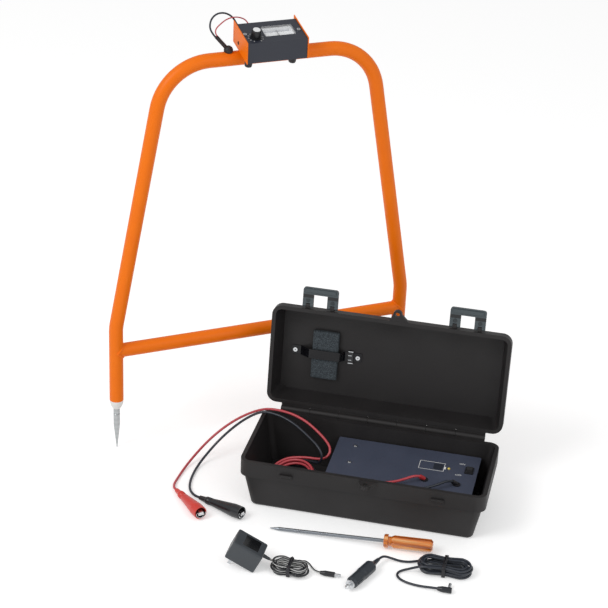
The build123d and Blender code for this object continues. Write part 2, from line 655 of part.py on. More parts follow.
def latch(latch_x):
    """An over-centre latch: two legs that straddle the lid's ears, joined by a bar with a raised lip."""
    slot_depth = EAR_RADIUS + SIDE_GAP
    with BuildPart() as plate:
        with BuildSketch(LID.offset(LATCH_MID - LATCH_THICK / 2)) as outline:
            with Locations((latch_x, LATCH_PIVOT)):
                Rectangle(LATCH_WIDTH, LATCH_LENGTH, align=(Align.CENTER, Align.MIN))
                Rectangle(LATCH_WINDOW, LATCH_LENGTH - LATCH_BAR, align=(Align.CENTER, Align.MIN),
                          mode=Mode.SUBTRACT)
            with Locations(*[(latch_x + offset, LATCH_PIVOT) for offset in LEG_OFFSETS]):
                Rectangle(EAR_WIDTH + 2 * SIDE_GAP, slot_depth, align=(Align.CENTER, Align.MIN),
                          mode=Mode.SUBTRACT)
            fillet(outline.vertices().group_by(Axis.Y)[-1], LATCH_THICK)
        extrude(outline.sketch, amount=LATCH_THICK)
        with BuildSketch(across_lid(latch_x - LATCH_WIDTH / 2 + LATCH_THICK)) as lip:
            with Locations((LATCH_PIVOT + LATCH_LENGTH - LATCH_LIP, LATCH_MID)):
                Rectangle(LATCH_BAR / 2, LATCH_THICK + 2 * LATCH_LIP, align=(Align.MAX, Align.CENTER))
        extrude(lip.sketch, amount=LATCH_WIDTH - 2 * LATCH_THICK)
        for offset in LEG_OFFSETS:
            for start in (-LEG_WIDTH / 2, EAR_WIDTH / 2 + SIDE_GAP):
                with BuildSketch(across_lid(latch_x + offset + start)) as eye:
                    with Locations((LATCH_PIVOT, LATCH_MID)):
                        Circle(LATCH_EYE)
                extrude(eye.sketch, amount=(LEG_WIDTH - EAR_WIDTH) / 2 - SIDE_GAP)
            with BuildSketch(across_lid(latch_x + offset - LEG_WIDTH / 2)) as bore:
                with Locations((LATCH_PIVOT, LATCH_MID)):
                    Circle(LATCH_PIN / 2 + RUNNING)
            extrude(bore.sketch, amount=LEG_WIDTH, mode=Mode.SUBTRACT)
    return plate.part


for latch_name, latch_place in zip(("latch_left", "latch_right"), LATCH_X):
    latch_plate = latch(latch_place)
    with BuildPart() as latch_block:
        add(latch_plate)
    write(latch_block, latch_name)

with BuildPart() as carry_handle:
    with BuildLine(LID.offset(HANDLE_N)) as bail:
        FilletPolyline((-ARM_X, LID_MID), (-ARM_X, LID_MID - HANDLE_DROP), (ARM_X, LID_MID - HANDLE_DROP),
                       (ARM_X, LID_MID), radius=HANDLE_BEND)
    with BuildSketch(Plane(origin=bail.line @ 0, z_dir=bail.line % 0)):
        Circle(HANDLE_BAR / 2)
    sweep(path=bail.line)
    for arm in (-ARM_X, ARM_X):
        with BuildSketch(across_lid(arm - HANDLE_BAR / 2)):
            with Locations((LID_MID, HANDLE_N)):
                Circle(HANDLE_EYE)
        extrude(amount=HANDLE_BAR)
    with BuildSketch(across_lid(-ARM_X - HANDLE_BAR)):
        with Locations((LID_MID, HANDLE_N)):
            Circle(HANDLE_PIN / 2 + RUNNING)
    extrude(amount=2 * ARM_X + 2 * HANDLE_BAR, mode=Mode.SUBTRACT)
write(carry_handle, "carry_handle")

# Foam pad: crowned across its width, held down by a strap that bridges it
PAD_TOP = LID_CEILING + SOFT_GAP + PAD_THICK
with BuildPart() as lid_pad:
    with BuildSketch(Plane(origin=LID.from_local_coords((PAD_X, PAD_V - PAD_LENGTH / 2, 0)), x_dir=(1, 0, 0),
                           z_dir=LID.y_dir)):
        with BuildLine():
            Polyline((-PAD_WIDTH / 2, -PAD_TOP), (-PAD_WIDTH / 2, -LID_CEILING - SOFT_GAP),
                     (PAD_WIDTH / 2, -LID_CEILING - SOFT_GAP), (PAD_WIDTH / 2, -PAD_TOP))
            ThreePointArc((PAD_WIDTH / 2, -PAD_TOP), (0, -PAD_TOP - PAD_CROWN), (-PAD_WIDTH / 2, -PAD_TOP))
        make_face()
    extrude(amount=PAD_LENGTH)
    fillet(lid_pad.edges().filter_by(Axis(LID.origin, LID.z_dir)), PAD_CORNER)
write(lid_pad, "lid_pad")

BRIDGE = PAD_TOP + PAD_CROWN + SOFT_GAP
BRIDGE_HALF = PAD_WIDTH / 2 + PAD_CORNER
FLAT = -LID_CEILING - STRAP_THICK / 2
OVER = -BRIDGE - STRAP_THICK / 2
with BuildPart() as lid_strap:
    with BuildSketch(Plane(origin=LID.from_local_coords((0, STRAP_V - STRAP_WIDTH / 2, 0)), x_dir=(1, 0, 0),
                           z_dir=LID.y_dir)):
        with BuildLine() as strap_line:
            FilletPolyline((STRAP_ENDS[0], FLAT), (STRAP_FEET[0], FLAT), (PAD_X - BRIDGE_HALF, OVER),
                           (PAD_X + BRIDGE_HALF, OVER), (STRAP_FEET[1], FLAT), (STRAP_ENDS[1], FLAT),
                           radius=2 * STRAP_THICK)
        trace(line_width=STRAP_THICK)
    extrude(amount=STRAP_WIDTH)
    with BuildSketch(LID.offset(LID_CEILING)):
        with Locations(*STRAP_MOUNTS):
            Circle(STRAP_HOLE / 2)
    extrude(amount=2 * STRAP_THICK, mode=Mode.SUBTRACT)
write(lid_strap, "lid_strap")

STRAP_TOP = LID_CEILING + STRAP_THICK
with BuildPart() as strap_fittings:
    with BuildSketch(LID.offset(STRAP_TOP)):
        with Locations(*STRAP_MOUNTS):
            Circle(STRAP_HEAD[0] / 2)
    extrude(amount=STRAP_HEAD[1])
    with BuildSketch(LID.offset(STRAP_TOP)):
        with Locations(*STRAP_MOUNTS):
            Circle(SCREW_SHANK / 2)
    extrude(amount=-STRAP_THICK - CASE_WALL / 2)
    with BuildSketch(LID.offset(STRAP_TOP)):
        with Locations((BUCKLE_X, STRAP_V)):
            RectangleRounded(BUCKLE_SIZE[0], BUCKLE_SIZE[1], STRAP_THICK)
    extrude(amount=BUCKLE_SIZE[2])
write(strap_fittings, "strap_fittings")

# Transmitter: a panel on an open tray that stands in the case
PANEL_UNDER = PANEL_TOP - PANEL_THICK
TRAY_FLOOR = CASE_WALL + TRAY_WALL
TRAY_RIGHT = FOOT_LENGTH / 2 - CASE_WALL - TRAY_END_GAP
TRAY_LENGTH = TRAY_RIGHT - TRAY_LEFT
TRAY_DEPTH = FOOT_DEPTH - 2 * (CASE_WALL + TRAY_SIDE_GAP)
PANEL_X = (TRAY_LEFT + TRAY_RIGHT) / 2
PANEL_LENGTH = TRAY_LENGTH + 2 * PANEL_LIP
PANEL_DEPTH = INNER_DEPTH - 2 * PANEL_SIDE_GAP
SWITCH_AT = (TRAY_RIGHT - SWITCH_INSET, SWITCH_Y)
BOARD_LEFT = CELL_AT[0] + CELL_SIZE[0] / 2 + CELL_GAP
BOARD_LENGTH = TRAY_RIGHT - BOARD_INSET - BOARD_LEFT
BOARD_AT = (BOARD_LEFT + BOARD_LENGTH / 2, 0.0)

with BuildPart() as transmitter_panel:
    with BuildSketch(Plane.XY.offset(PANEL_UNDER)):
        with Locations((PANEL_X, PANEL_Y)):
            RectangleRounded(PANEL_LENGTH, PANEL_DEPTH, PANEL_CORNER)
        with Locations(*PANEL_SCREWS):
            Circle(SCREW_HOLE / 2, mode=Mode.SUBTRACT)
        with Locations(*OUTLETS):
            Circle(GROMMET_NECK / 2, mode=Mode.SUBTRACT)
        with Locations(LAMP_AT):
            Circle(LAMP_DIAMETER / 2, mode=Mode.SUBTRACT)
        with Locations(SWITCH_AT):
            Rectangle(SWITCH_BODY[0], SWITCH_BODY[1], mode=Mode.SUBTRACT)
    extrude(amount=PANEL_THICK)
write(transmitter_panel, "transmitter_panel")

with BuildPart() as transmitter_tray:
    with BuildSketch(Plane.XY.offset(CASE_WALL)):
        with Locations((PANEL_X, PANEL_Y)):
            RectangleRounded(TRAY_LENGTH, TRAY_DEPTH, PANEL_CORNER)
    extrude(amount=PANEL_UNDER - CASE_WALL)
    with BuildSketch(Plane.XY.offset(TRAY_FLOOR)):
        with Locations((PANEL_X, PANEL_Y)):
            RectangleRounded(TRAY_LENGTH - 2 * TRAY_WALL, TRAY_DEPTH - 2 * TRAY_WALL,
                             PANEL_CORNER - TRAY_WALL)
    extrude(amount=PANEL_UNDER - TRAY_FLOOR, mode=Mode.SUBTRACT)
    with BuildSketch(Plane.XY.offset(CASE_WALL)):
        with Locations(*PANEL_SCREWS):
            Circle(POST_RADIUS)
    extrude(amount=PANEL_UNDER - CASE_WALL)
    with BuildSketch(Plane.XY.offset(PANEL_UNDER)):
        with Locations(*PANEL_SCREWS):
            Circle(SCREW_SHANK / 2)
    extrude(amount=-SCREW_LENGTH, mode=Mode.SUBTRACT)
    with BuildSketch(Plane.XY.offset(CASE_WALL)):
        with Locations(BOARD_AT):
            with GridLocations(BOARD_LENGTH - 4 * POST_RADIUS, BOARD_DEPTH - 4 * POST_RADIUS, 2, 2):
                Circle(POST_RADIUS)
    extrude(amount=BOARD_STAND + TRAY_WALL)
write(transmitter_tray, "transmitter_tray")

with BuildPart() as panel_screws:
    with BuildSketch(Plane.XY.offset(PANEL_TOP)):
        with Locations(*PANEL_SCREWS):
            Circle(SCREW_HEAD[0] / 2)
    extrude(amount=SCREW_HEAD[1])
    fillet(panel_screws.edges().group_by(Axis.Z)[-1], SCREW_HEAD[1] / 2)
    with BuildSketch(Plane.XY.offset(PANEL_TOP)):
        with Locations(*PANEL_SCREWS):
            Circle(SCREW_SHANK / 2)
    extrude(amount=-PANEL_THICK - SCREW_LENGTH)
write(panel_screws, "panel_screws")

# Rocker switch: its body hangs through the panel, its bezel lies on it and the rocker tilts in a round well
ROCKER_Z = PANEL_TOP + SWITCH_BEZEL[2] / 2
ROCKER_SWEEP = hypot(ROCKER_HALF, ROCKER_RISE)
with BuildPart() as power_switch:
    with BuildSketch(Plane.XY.offset(PANEL_TOP)):
        with Locations(SWITCH_AT):
            RectangleRounded(SWITCH_BEZEL[0], SWITCH_BEZEL[1], TRAY_WALL)
    extrude(amount=SWITCH_BEZEL[2])
    with BuildSketch(Plane.XY.offset(PANEL_TOP)):
        with Locations(SWITCH_AT):
            Rectangle(SWITCH_BODY[0] - 2 * FIT, SWITCH_BODY[1] - 2 * FIT)
    extrude(amount=-SWITCH_BODY[2])
    with BuildSketch(Plane(origin=(SWITCH_AT[0] - ROCKER_WIDTH / 2 - SOFT_GAP, SWITCH_AT[1], ROCKER_Z),
                           x_dir=(0, 1, 0), z_dir=(1, 0, 0))):
        Circle(ROCKER_SWEEP + SOFT_GAP)
    extrude(amount=ROCKER_WIDTH + 2 * SOFT_GAP, mode=Mode.SUBTRACT)
write(power_switch, "power_switch")

ROCKER_LEAN = radians(ROCKER_TILT)
with BuildPart() as power_rocker:
    with BuildSketch(Plane(origin=(SWITCH_AT[0] - ROCKER_WIDTH / 2, SWITCH_AT[1], ROCKER_Z),
                           x_dir=(0, cos(ROCKER_LEAN), sin(ROCKER_LEAN)), z_dir=(1, 0, 0))):
        with BuildLine():
            Polyline((-ROCKER_HALF, ROCKER_RISE), (0, ROCKER_RISE - ROCKER_DISH), (ROCKER_HALF, ROCKER_RISE))
            ThreePointArc((ROCKER_HALF, ROCKER_RISE), (0, -ROCKER_SWEEP), (-ROCKER_HALF, ROCKER_RISE))
        make_face()
    extrude(amount=ROCKER_WIDTH)
write(power_rocker, "power_rocker")

with BuildPart() as charge_lamp:
    with BuildSketch(Plane.XY.offset(PANEL_UNDER)):
        with Locations(LAMP_AT):
            Circle(LAMP_FLANGE / 2)
    extrude(amount=-PANEL_THICK)
    with BuildSketch(Plane.XY.offset(PANEL_UNDER)):
        with Locations(LAMP_AT):
            Circle(LAMP_DIAMETER / 2 - FIT)
    extrude(amount=2 * PANEL_THICK)
    fillet(charge_lamp.edges().group_by(Axis.Z)[-1], LAMP_DIAMETER / 2 - 4 * FIT)
write(charge_lamp, "charge_lamp")

OUTLET_AXIS = Vector(*OUTLET_HEADING).normalized()
SLEEVE_BASE = PANEL_TOP + GROMMET_LIP + SOFT_GAP
OUTLET_ENDS = [Vector(x, y, SLEEVE_BASE) + OUTLET_AXIS * GROMMET_SLEEVE[1] for x, y in OUTLETS]
with BuildPart() as panel_grommets:
    for x, y in OUTLETS:
        with BuildSketch(Plane(origin=(x, y, SLEEVE_BASE), z_dir=OUTLET_AXIS)):
            Circle(GROMMET_SLEEVE[0] / 2)
        extrude(amount=GROMMET_SLEEVE[1])
    with BuildSketch(Plane.XY.offset(PANEL_UNDER - GROMMET_LIP)):
        with Locations(*OUTLETS):
            Circle(GROMMET_FLANGE / 2)
    extrude(amount=GROMMET_LIP)
    with BuildSketch(Plane.XY.offset(PANEL_UNDER)):
        with Locations(*OUTLETS):
            Circle(GROMMET_NECK / 2)
    extrude(amount=PANEL_THICK)
    with BuildSketch(Plane.XY.offset(PANEL_TOP)):
        with Locations(*OUTLETS):
            Circle(GROMMET_FLANGE / 2)
    extrude(amount=GROMMET_LIP)
write(panel_grommets, "panel_grommets")

with BuildPart() as storage_battery:
    with BuildSketch(Plane.XY.offset(TRAY_FLOOR)):
        with Locations(CELL_AT):
            Rectangle(CELL_SIZE[0], CELL_SIZE[1])
    extrude(amount=CELL_SIZE[2])
    with BuildSketch(Plane.XY.offset(TRAY_FLOOR + CELL_SIZE[2])):
        with Locations(CELL_AT):
            with GridLocations(CELL_SIZE[0] - 3 * CELL_TERMINAL[0], 1, 2, 1):
                Rectangle(CELL_TERMINAL[0], CELL_TERMINAL[0])
    extrude(amount=CELL_TERMINAL[1])
write(storage_battery, "storage_battery")

BOARD_BOTTOM = TRAY_FLOOR + BOARD_STAND
with BuildPart() as transmitter_board:
    with BuildSketch(Plane.XY.offset(BOARD_BOTTOM)):
        with Locations(BOARD_AT):
            Rectangle(BOARD_LENGTH, BOARD_DEPTH)
    extrude(amount=BOARD_THICK)
    for k, chip_height in enumerate(CHIP_HEIGHTS):
        with BuildSketch(Plane.XY.offset(BOARD_BOTTOM + BOARD_THICK)):
            with Locations((BOARD_AT[0] + (k - 1) * BOARD_LENGTH / 4, BOARD_AT[1])):
                Rectangle(BOARD_LENGTH / 6, BOARD_DEPTH / 3)
        extrude(amount=chip_height)
write(transmitter_board, "transmitter_board")

with BuildPart() as pulse_transformer:
    with BuildSketch(Plane.XY.offset(TRAY_FLOOR)):
        with Locations(CORE_AT):
            Rectangle(CORE_SIZE[0], CORE_SIZE[1])
    extrude(amount=CORE_SIZE[2])
    with BuildSketch(Plane.XY.offset(TRAY_FLOOR + (CORE_SIZE[2] - CORE_BOBBIN[2]) / 2)):
        with Locations(CORE_AT):
            RectangleRounded(CORE_BOBBIN[0], CORE_BOBBIN[1], POST_RADIUS)
    extrude(amount=CORE_BOBBIN[2])
write(pulse_transformer, "pulse_transformer")

# A-frame: local X along the frame's width, local Y up, local Z towards the viewer
TURN = radians(FRAME_TURN)
ALONG = Vector(cos(TURN), sin(TURN), 0)
BEHIND = Vector(-sin(TURN), cos(TURN), 0)
FACE = Plane(origin=(*FRAME_AT, 0), x_dir=ALONG, z_dir=-BEHIND)
LEG_X = LEG_SPACING / 2
TUBE_RADIUS = TUBE_OD / 2
TUBE_BORE = TUBE_RADIUS - TUBE_WALL
BAR_CORNER = BAR_SPREAD / 2
LEAN = radians(BOX_TILT)
BOX_BASE = BAR_HEIGHT + (TUBE_RADIUS + SADDLE_THICK) / cos(LEAN)
BOX_NORMAL = Vector(0, 0, 1) * cos(LEAN) - BEHIND * sin(LEAN)
RECEIVER_FLOOR = Plane(origin=FACE.from_local_coords((0, BOX_BASE, 0)), x_dir=ALONG, z_dir=BOX_NORMAL)
RECEIVER_TOP = Plane(origin=FACE.from_local_coords((0, BOX_BASE + BOX_HEIGHT, 0)), x_dir=ALONG,
                     z_dir=BOX_NORMAL)
BOLT_BACK = -(BOX_BASE - BAR_HEIGHT) * sin(LEAN)
BOLTS = [(x, BOLT_BACK) for x in SADDLE_AT]
BALL_HEIGHT = BAR_HEIGHT + TUBE_RADIUS + BALL_RISE
BALL_CENTRE = FACE.from_local_coords((BALL_AT, BALL_HEIGHT, 0))


def across_bar(x):
    """The plane square to the top bar: local X to its back, local Y up."""
    return Plane(origin=FACE.from_local_coords((x, 0, 0)), x_dir=BEHIND, z_dir=ALONG)


def leg_axis(x):
    """The plane of a leg whose X axis runs up the leg."""
    return Plane(origin=FACE.from_local_coords((x, 0, 0)), x_dir=(0, 0, 1), z_dir=BEHIND)


with BuildPart() as frame_tube:
    with BuildLine(FACE) as bend:
        FilletPolyline((-LEG_X, LEG_END), (-LEG_X, KINK_HEIGHT), (-BAR_CORNER, BAR_HEIGHT),
                       (BAR_CORNER, BAR_HEIGHT), (LEG_X, KINK_HEIGHT), (LEG_X, LEG_END),
                       radius=[KINK_RADIUS, BEND_RADIUS, BEND_RADIUS, KINK_RADIUS])
    with BuildSketch(Plane(origin=bend.line @ 0, z_dir=bend.line % 0)):
        Circle(TUBE_RADIUS)
        Circle(TUBE_BORE, mode=Mode.SUBTRACT)
    sweep(path=bend.line)
    with BuildSketch(RECEIVER_FLOOR):
        with Locations(*BOLTS):
            Circle(SADDLE_BOLT / 2)
    extrude(amount=-SADDLE_THICK - 2 * TUBE_WALL, mode=Mode.SUBTRACT)
    with BuildSketch(Plane(origin=BALL_CENTRE)):
        Circle(BALL_NECK / 2)
    extrude(amount=-BALL_RISE - 2 * TUBE_WALL, mode=Mode.SUBTRACT)
write(frame_tube, "frame_tube")

with BuildPart() as cross_tube:
    with BuildSketch(across_bar(-LEG_X)):
        with Locations((0, CROSS_HEIGHT)):
            Circle(TUBE_RADIUS)
            Circle(TUBE_BORE, mode=Mode.SUBTRACT)
    extrude(amount=LEG_SPACING)
    for leg in (-LEG_X, LEG_X):
        with BuildSketch(Plane(origin=FACE.from_local_coords((leg, CROSS_HEIGHT - TUBE_OD, 0)))):
            Circle(TUBE_RADIUS + FIT)
        extrude(amount=2 * TUBE_OD, mode=Mode.SUBTRACT)
write(cross_tube, "cross_tube")

INSULATOR_END = LEG_END - INSULATOR_LENGTH
STEM_TOP = INSULATOR_END + SPIKE_STEM_LENGTH
with BuildPart() as leg_insulators:
    for leg in (-LEG_X, LEG_X):
        with BuildSketch(leg_axis(leg)) as half:
            with BuildLine():
                Polyline((LEG_END, TUBE_RADIUS), (LEG_END, TUBE_BORE - FIT),
                         (LEG_END + INSULATOR_STEM, TUBE_BORE - FIT), (LEG_END + INSULATOR_STEM, 0),
                         (STEM_TOP, 0), (STEM_TOP, SPIKE_STEM / 2),
                         (INSULATOR_END, SPIKE_STEM / 2), (INSULATOR_END, INSULATOR_NOSE / 2))
                TangentArc((LEG_END, TUBE_RADIUS), (INSULATOR_END, INSULATOR_NOSE / 2), tangent=(-1, 0))
            make_face()
        revolve(axis=Axis(leg_axis(leg).origin, (0, 0, 1)))
write(leg_insulators, "leg_insulators")

SPIKE_OUTLINE = [(0, 0), (0, SPIKE_TIP / 2), (SPIKE_CONE, SPIKE_DIAMETER / 2),
                 (SPIKE_GROOVE - 1, SPIKE_DIAMETER / 2), (SPIKE_GROOVE, SPIKE_STEM / 2),
                 (SPIKE_GROOVE + 1, SPIKE_DIAMETER / 2), (INSULATOR_END, SPIKE_DIAMETER / 2),
                 (INSULATOR_END, SPIKE_STEM / 2), (STEM_TOP, SPIKE_STEM / 2), (STEM_TOP, 0)]
spikes = [turned(leg_axis(leg), SPIKE_OUTLINE) for leg in (-LEG_X, LEG_X)]
with BuildPart() as ground_spikes:
    for spike in spikes:
        add(spike)
write(ground_spikes, "ground_spikes")

# Receiver box: a chassis of floor and end plates under a folded cover, tilted towards the user
SLOPE = tan(LEAN)
SKIN = SHEET / cos(LEAN)


def box_line(back, rise):
    """A point on the box's cross-section: distance behind the bar's centre, height above the floor."""
    return (back, BOX_BASE + back * SLOPE + rise)


TABS = ((BOX_LEFT + SHEET, COVER_SCREWS[0][0] + TAB_MARGIN),
        (COVER_SCREWS[1][0] - TAB_MARGIN, BOX_RIGHT - SHEET))
with BuildPart() as receiver_chassis:
    with BuildSketch(across_bar(BOX_LEFT)):
        with BuildLine():
            Polyline(box_line(BOX_FRONT + SHEET, 0), box_line(BOX_BACK - SHEET, 0),
                     box_line(BOX_BACK - SHEET, SKIN), box_line(BOX_FRONT + SHEET, SKIN), close=True)
        make_face()
    extrude(amount=BOX_RIGHT - BOX_LEFT)
    for side in (BOX_LEFT, BOX_RIGHT - SHEET):
        with BuildSketch(across_bar(side)):
            with BuildLine():
                Polyline(box_line(BOX_FRONT - PLATE_NOSE, 0), box_line(BOX_BACK + PLATE_TAIL, 0),
                         box_line(BOX_BACK + PLATE_TAIL, BOX_HEIGHT + PLATE_RISE),
                         box_line(BOX_FRONT - PLATE_NOSE, BOX_HEIGHT + PLATE_RISE), close=True)
            make_face()
        extrude(amount=SHEET)
    for (tab_start, tab_end), (x, back) in zip(TABS, COVER_SCREWS):
        with BuildSketch(RECEIVER_TOP.offset(-2 * SHEET)):
            with Locations(((tab_start + tab_end) / 2, back)):
                Rectangle(tab_end - tab_start, 3 * TAB_MARGIN)
            with Locations((x, back)):
                Circle(SCREW_SHANK / 2, mode=Mode.SUBTRACT)
        extrude(amount=SHEET)
    with BuildSketch(RECEIVER_FLOOR):
        with Locations(*BOLTS):
            Circle(SADDLE_BOLT / 2)
    extrude(amount=2 * SHEET, mode=Mode.SUBTRACT)
write(receiver_chassis, "receiver_chassis")

with BuildPart() as receiver_cover:
    with BuildSketch(across_bar(BOX_LEFT + SHEET)):
        with BuildLine():
            Polyline(box_line(BOX_FRONT, 0), box_line(BOX_FRONT, BOX_HEIGHT), box_line(BOX_BACK, BOX_HEIGHT),
                     box_line(BOX_BACK, 0), box_line(BOX_BACK - SHEET, 0),
                     box_line(BOX_BACK - SHEET, BOX_HEIGHT - SKIN),
                     box_line(BOX_FRONT + SHEET, BOX_HEIGHT - SKIN), box_line(BOX_FRONT + SHEET, 0),
                     close=True)
        make_face()
    extrude(amount=BOX_RIGHT - BOX_LEFT - 2 * SHEET)
    with BuildSketch(RECEIVER_TOP):
        with Locations(METER_AT):
            RectangleRounded(METER_WINDOW[0] + 2 * FIT, METER_WINDOW[1] + 2 * FIT, SHEET)
        with Locations(KNOB_AT):
            Circle(BUSH[0] / 2)
        with Locations(*COVER_SCREWS):
            Circle(SCREW_HOLE / 2)
    extrude(amount=-SHEET, mode=Mode.SUBTRACT)
write(receiver_cover, "receiver_cover")

with BuildPart() as receiver_screws:
    with BuildSketch(RECEIVER_TOP):
        with Locations(*COVER_SCREWS):
            Circle(SCREW_HEAD[0] / 2)
    extrude(amount=SCREW_HEAD[1])
    with BuildSketch(RECEIVER_TOP):
        with Locations(*COVER_SCREWS):
            Circle(SCREW_SHANK / 2)
    extrude(amount=-COVER_SCREW_LENGTH)
    with BuildSketch(RECEIVER_FLOOR.offset(SHEET)):
        with Locations(*BOLTS):
            Circle(BOLT_HEAD[0] / 2)
    extrude(amount=BOLT_HEAD[1])
    with BuildSketch(RECEIVER_FLOOR.offset(SHEET)):
        with Locations(*BOLTS):
            Circle(SADDLE_BOLT / 2)
    extrude(amount=-SHEET - SADDLE_THICK - BOLT_REACH)
write(receiver_screws, "receiver_screws")

with BuildPart() as tube_saddles:
    for saddle in SADDLE_AT:
        with BuildSketch(across_bar(saddle - SADDLE_WIDTH / 2)):
            with BuildLine():
                Polyline(box_line(-SADDLE_SPREAD / 2, 0), (-SADDLE_SPREAD / 2, BAR_HEIGHT + SADDLE_GRIP),
                         (SADDLE_SPREAD / 2, BAR_HEIGHT + SADDLE_GRIP), box_line(SADDLE_SPREAD / 2, 0),
                         close=True)
            make_face()
            with Locations((0, BAR_HEIGHT)):
                Circle(TUBE_RADIUS, mode=Mode.SUBTRACT)
        extrude(amount=SADDLE_WIDTH)
    with BuildSketch(RECEIVER_FLOOR):
        with Locations(*BOLTS):
            Circle(SADDLE_BOLT / 2)
    extrude(amount=-SADDLE_THICK - TUBE_WALL, mode=Mode.SUBTRACT)
write(tube_saddles, "tube_saddles")

with BuildPart() as receiver_feet:
    with BuildSketch(RECEIVER_FLOOR):
        with Locations(*RUBBER_AT):
            Circle(RUBBER_FOOT[0] / 2)
    extrude(amount=-RUBBER_FOOT[1], taper=RUBBER_TAPER)
write(receiver_feet, "receiver_feet")

# Panel meter: a case with a sunk dial under the cover, a needle on its pivot pin and a window in a cut-out
METER_UNDER = RECEIVER_TOP.offset(-SHEET)
DIAL = METER_UNDER.offset(-METER_WELL[2])
PIVOT_AT = (METER_AT[0], METER_AT[1] + NEEDLE_PIVOT)
with BuildPart() as meter_case:
    with BuildSketch(METER_UNDER):
        with Locations(METER_AT):
            RectangleRounded(METER_CASE[0], METER_CASE[1], SHEET)
    extrude(amount=-METER_CASE[2])
    with BuildSketch(DIAL):
        with Locations(METER_AT):
            Rectangle(METER_WELL[0], METER_WELL[1])
    extrude(amount=METER_WELL[2], mode=Mode.SUBTRACT)
    with BuildSketch(DIAL):
        with Locations(PIVOT_AT):
            Circle(NEEDLE_PIN / 2)
    extrude(amount=METER_WELL[2] / 2)
write(meter_case, "meter_case")

with BuildPart() as meter_needle:
    with BuildSketch(DIAL.offset(SOFT_GAP)):
        with Locations(PIVOT_AT):
            Circle(NEEDLE_HUB / 2)
    extrude(amount=METER_WELL[2] / 2)
    with BuildSketch(DIAL.offset(METER_WELL[2] / 3)):
        with Locations(PIVOT_AT):
            Rectangle(NEEDLE_WIDTH, NEEDLE_LENGTH, align=(Align.CENTER, Align.MIN))
    extrude(amount=NEEDLE_WIDTH)
    with BuildSketch(DIAL):
        with Locations(PIVOT_AT):
            Circle(NEEDLE_PIN / 2 + RUNNING)
    extrude(amount=METER_WELL[2], mode=Mode.SUBTRACT)
write(meter_needle, "meter_needle")

with BuildPart() as meter_window:
    with BuildSketch(METER_UNDER):
        with Locations(METER_AT):
            RectangleRounded(METER_WINDOW[0], METER_WINDOW[1], SHEET)
    extrude(amount=SHEET + METER_GLASS)
write(meter_window, "meter_window")

with BuildPart() as gain_control:
    with BuildSketch(METER_UNDER):
        with Locations(KNOB_AT):
            Circle(CONTROL_BODY[0] / 2)
    extrude(amount=-CONTROL_BODY[1])
    with BuildSketch(METER_UNDER):
        with Locations(KNOB_AT):
            Circle(BUSH[0] / 2)
    extrude(amount=SHEET + BUSH[1])
    with BuildSketch(RECEIVER_TOP):
        with Locations(KNOB_AT):
            RegularPolygon(BUSH_NUT[0] / 2, 6, major_radius=False)
    extrude(amount=BUSH_NUT[1])
    with BuildSketch(RECEIVER_TOP.offset(BUSH[1])):
        with Locations(KNOB_AT):
            Circle(SHAFT_DIAMETER / 2 + RUNNING)
    extrude(amount=-BUSH[1] - SHEET - CONTROL_BODY[1] / 2, mode=Mode.SUBTRACT)
write(gain_control, "gain_control")

KNOB_HOLLOW = BUSH[1] + KNOB_LIFT
with BuildPart() as gain_knob:
    with BuildSketch(RECEIVER_TOP.offset(KNOB_LIFT)):
        with Locations(KNOB_AT):
            Circle(KNOB_SKIRT[0] / 2)
    extrude(amount=KNOB_SKIRT[1])
    with BuildSketch(RECEIVER_TOP.offset(KNOB_LIFT)):
        with Locations(KNOB_AT):
            Circle(KNOB_DIAMETER / 2)
    extrude(amount=KNOB_HEIGHT - KNOB_LIFT)
    with BuildSketch(RECEIVER_TOP.offset(KNOB_HOLLOW)):
        with Locations(KNOB_AT):
            Circle(KNOB_DIAMETER / 2 - KNOB_LIFT)
    extrude(amount=-BUSH[1], mode=Mode.SUBTRACT)
    with BuildSketch(RECEIVER_TOP.offset(KNOB_HOLLOW)):
        with Locations(KNOB_AT):
            Circle(SHAFT_DIAMETER / 2)
    extrude(amount=-KNOB_HOLLOW - SHEET - CONTROL_BODY[1] / 4)
    with BuildSketch(RECEIVER_TOP.offset(KNOB_HEIGHT)):
        with Locations(KNOB_AT):
            Circle(KNOB_CAP[0] / 2)
    extrude(amount=KNOB_CAP[1])
write(gain_knob, "gain_knob")

with BuildPart() as receiver_battery:
    with BuildSketch(RECEIVER_FLOOR.offset(SHEET)):
        with Locations(RECEIVER_CELL_AT):
            RectangleRounded(RECEIVER_CELL[0], RECEIVER_CELL[1], SHEET)
    extrude(amount=RECEIVER_CELL[2])
write(receiver_battery, "receiver_battery")

with BuildPart() as receiver_board:
    with BuildSketch(RECEIVER_FLOOR.offset(SHEET)):
        with Locations((0, RECEIVER_BOARD_BACK)):
            Rectangle(RECEIVER_BOARD[0], RECEIVER_BOARD[1])
    extrude(amount=RECEIVER_BOARD[2])
    with BuildSketch(RECEIVER_FLOOR.offset(RECEIVER_BOARD[2] / 2)):
        with Locations((0, RECEIVER_BOARD_BACK + RECEIVER_BOARD[1] / 2)):
            with GridLocations(RECEIVER_BOARD[0] / 3, 1, 3, 1):
                Rectangle(RECEIVER_BOARD[0] / 6, RECEIVER_BOARD[1], align=(Align.CENTER, Align.MIN))
    extrude(amount=RECEIVER_BOARD[2] / 4)
write(receiver_board, "receiver_board")

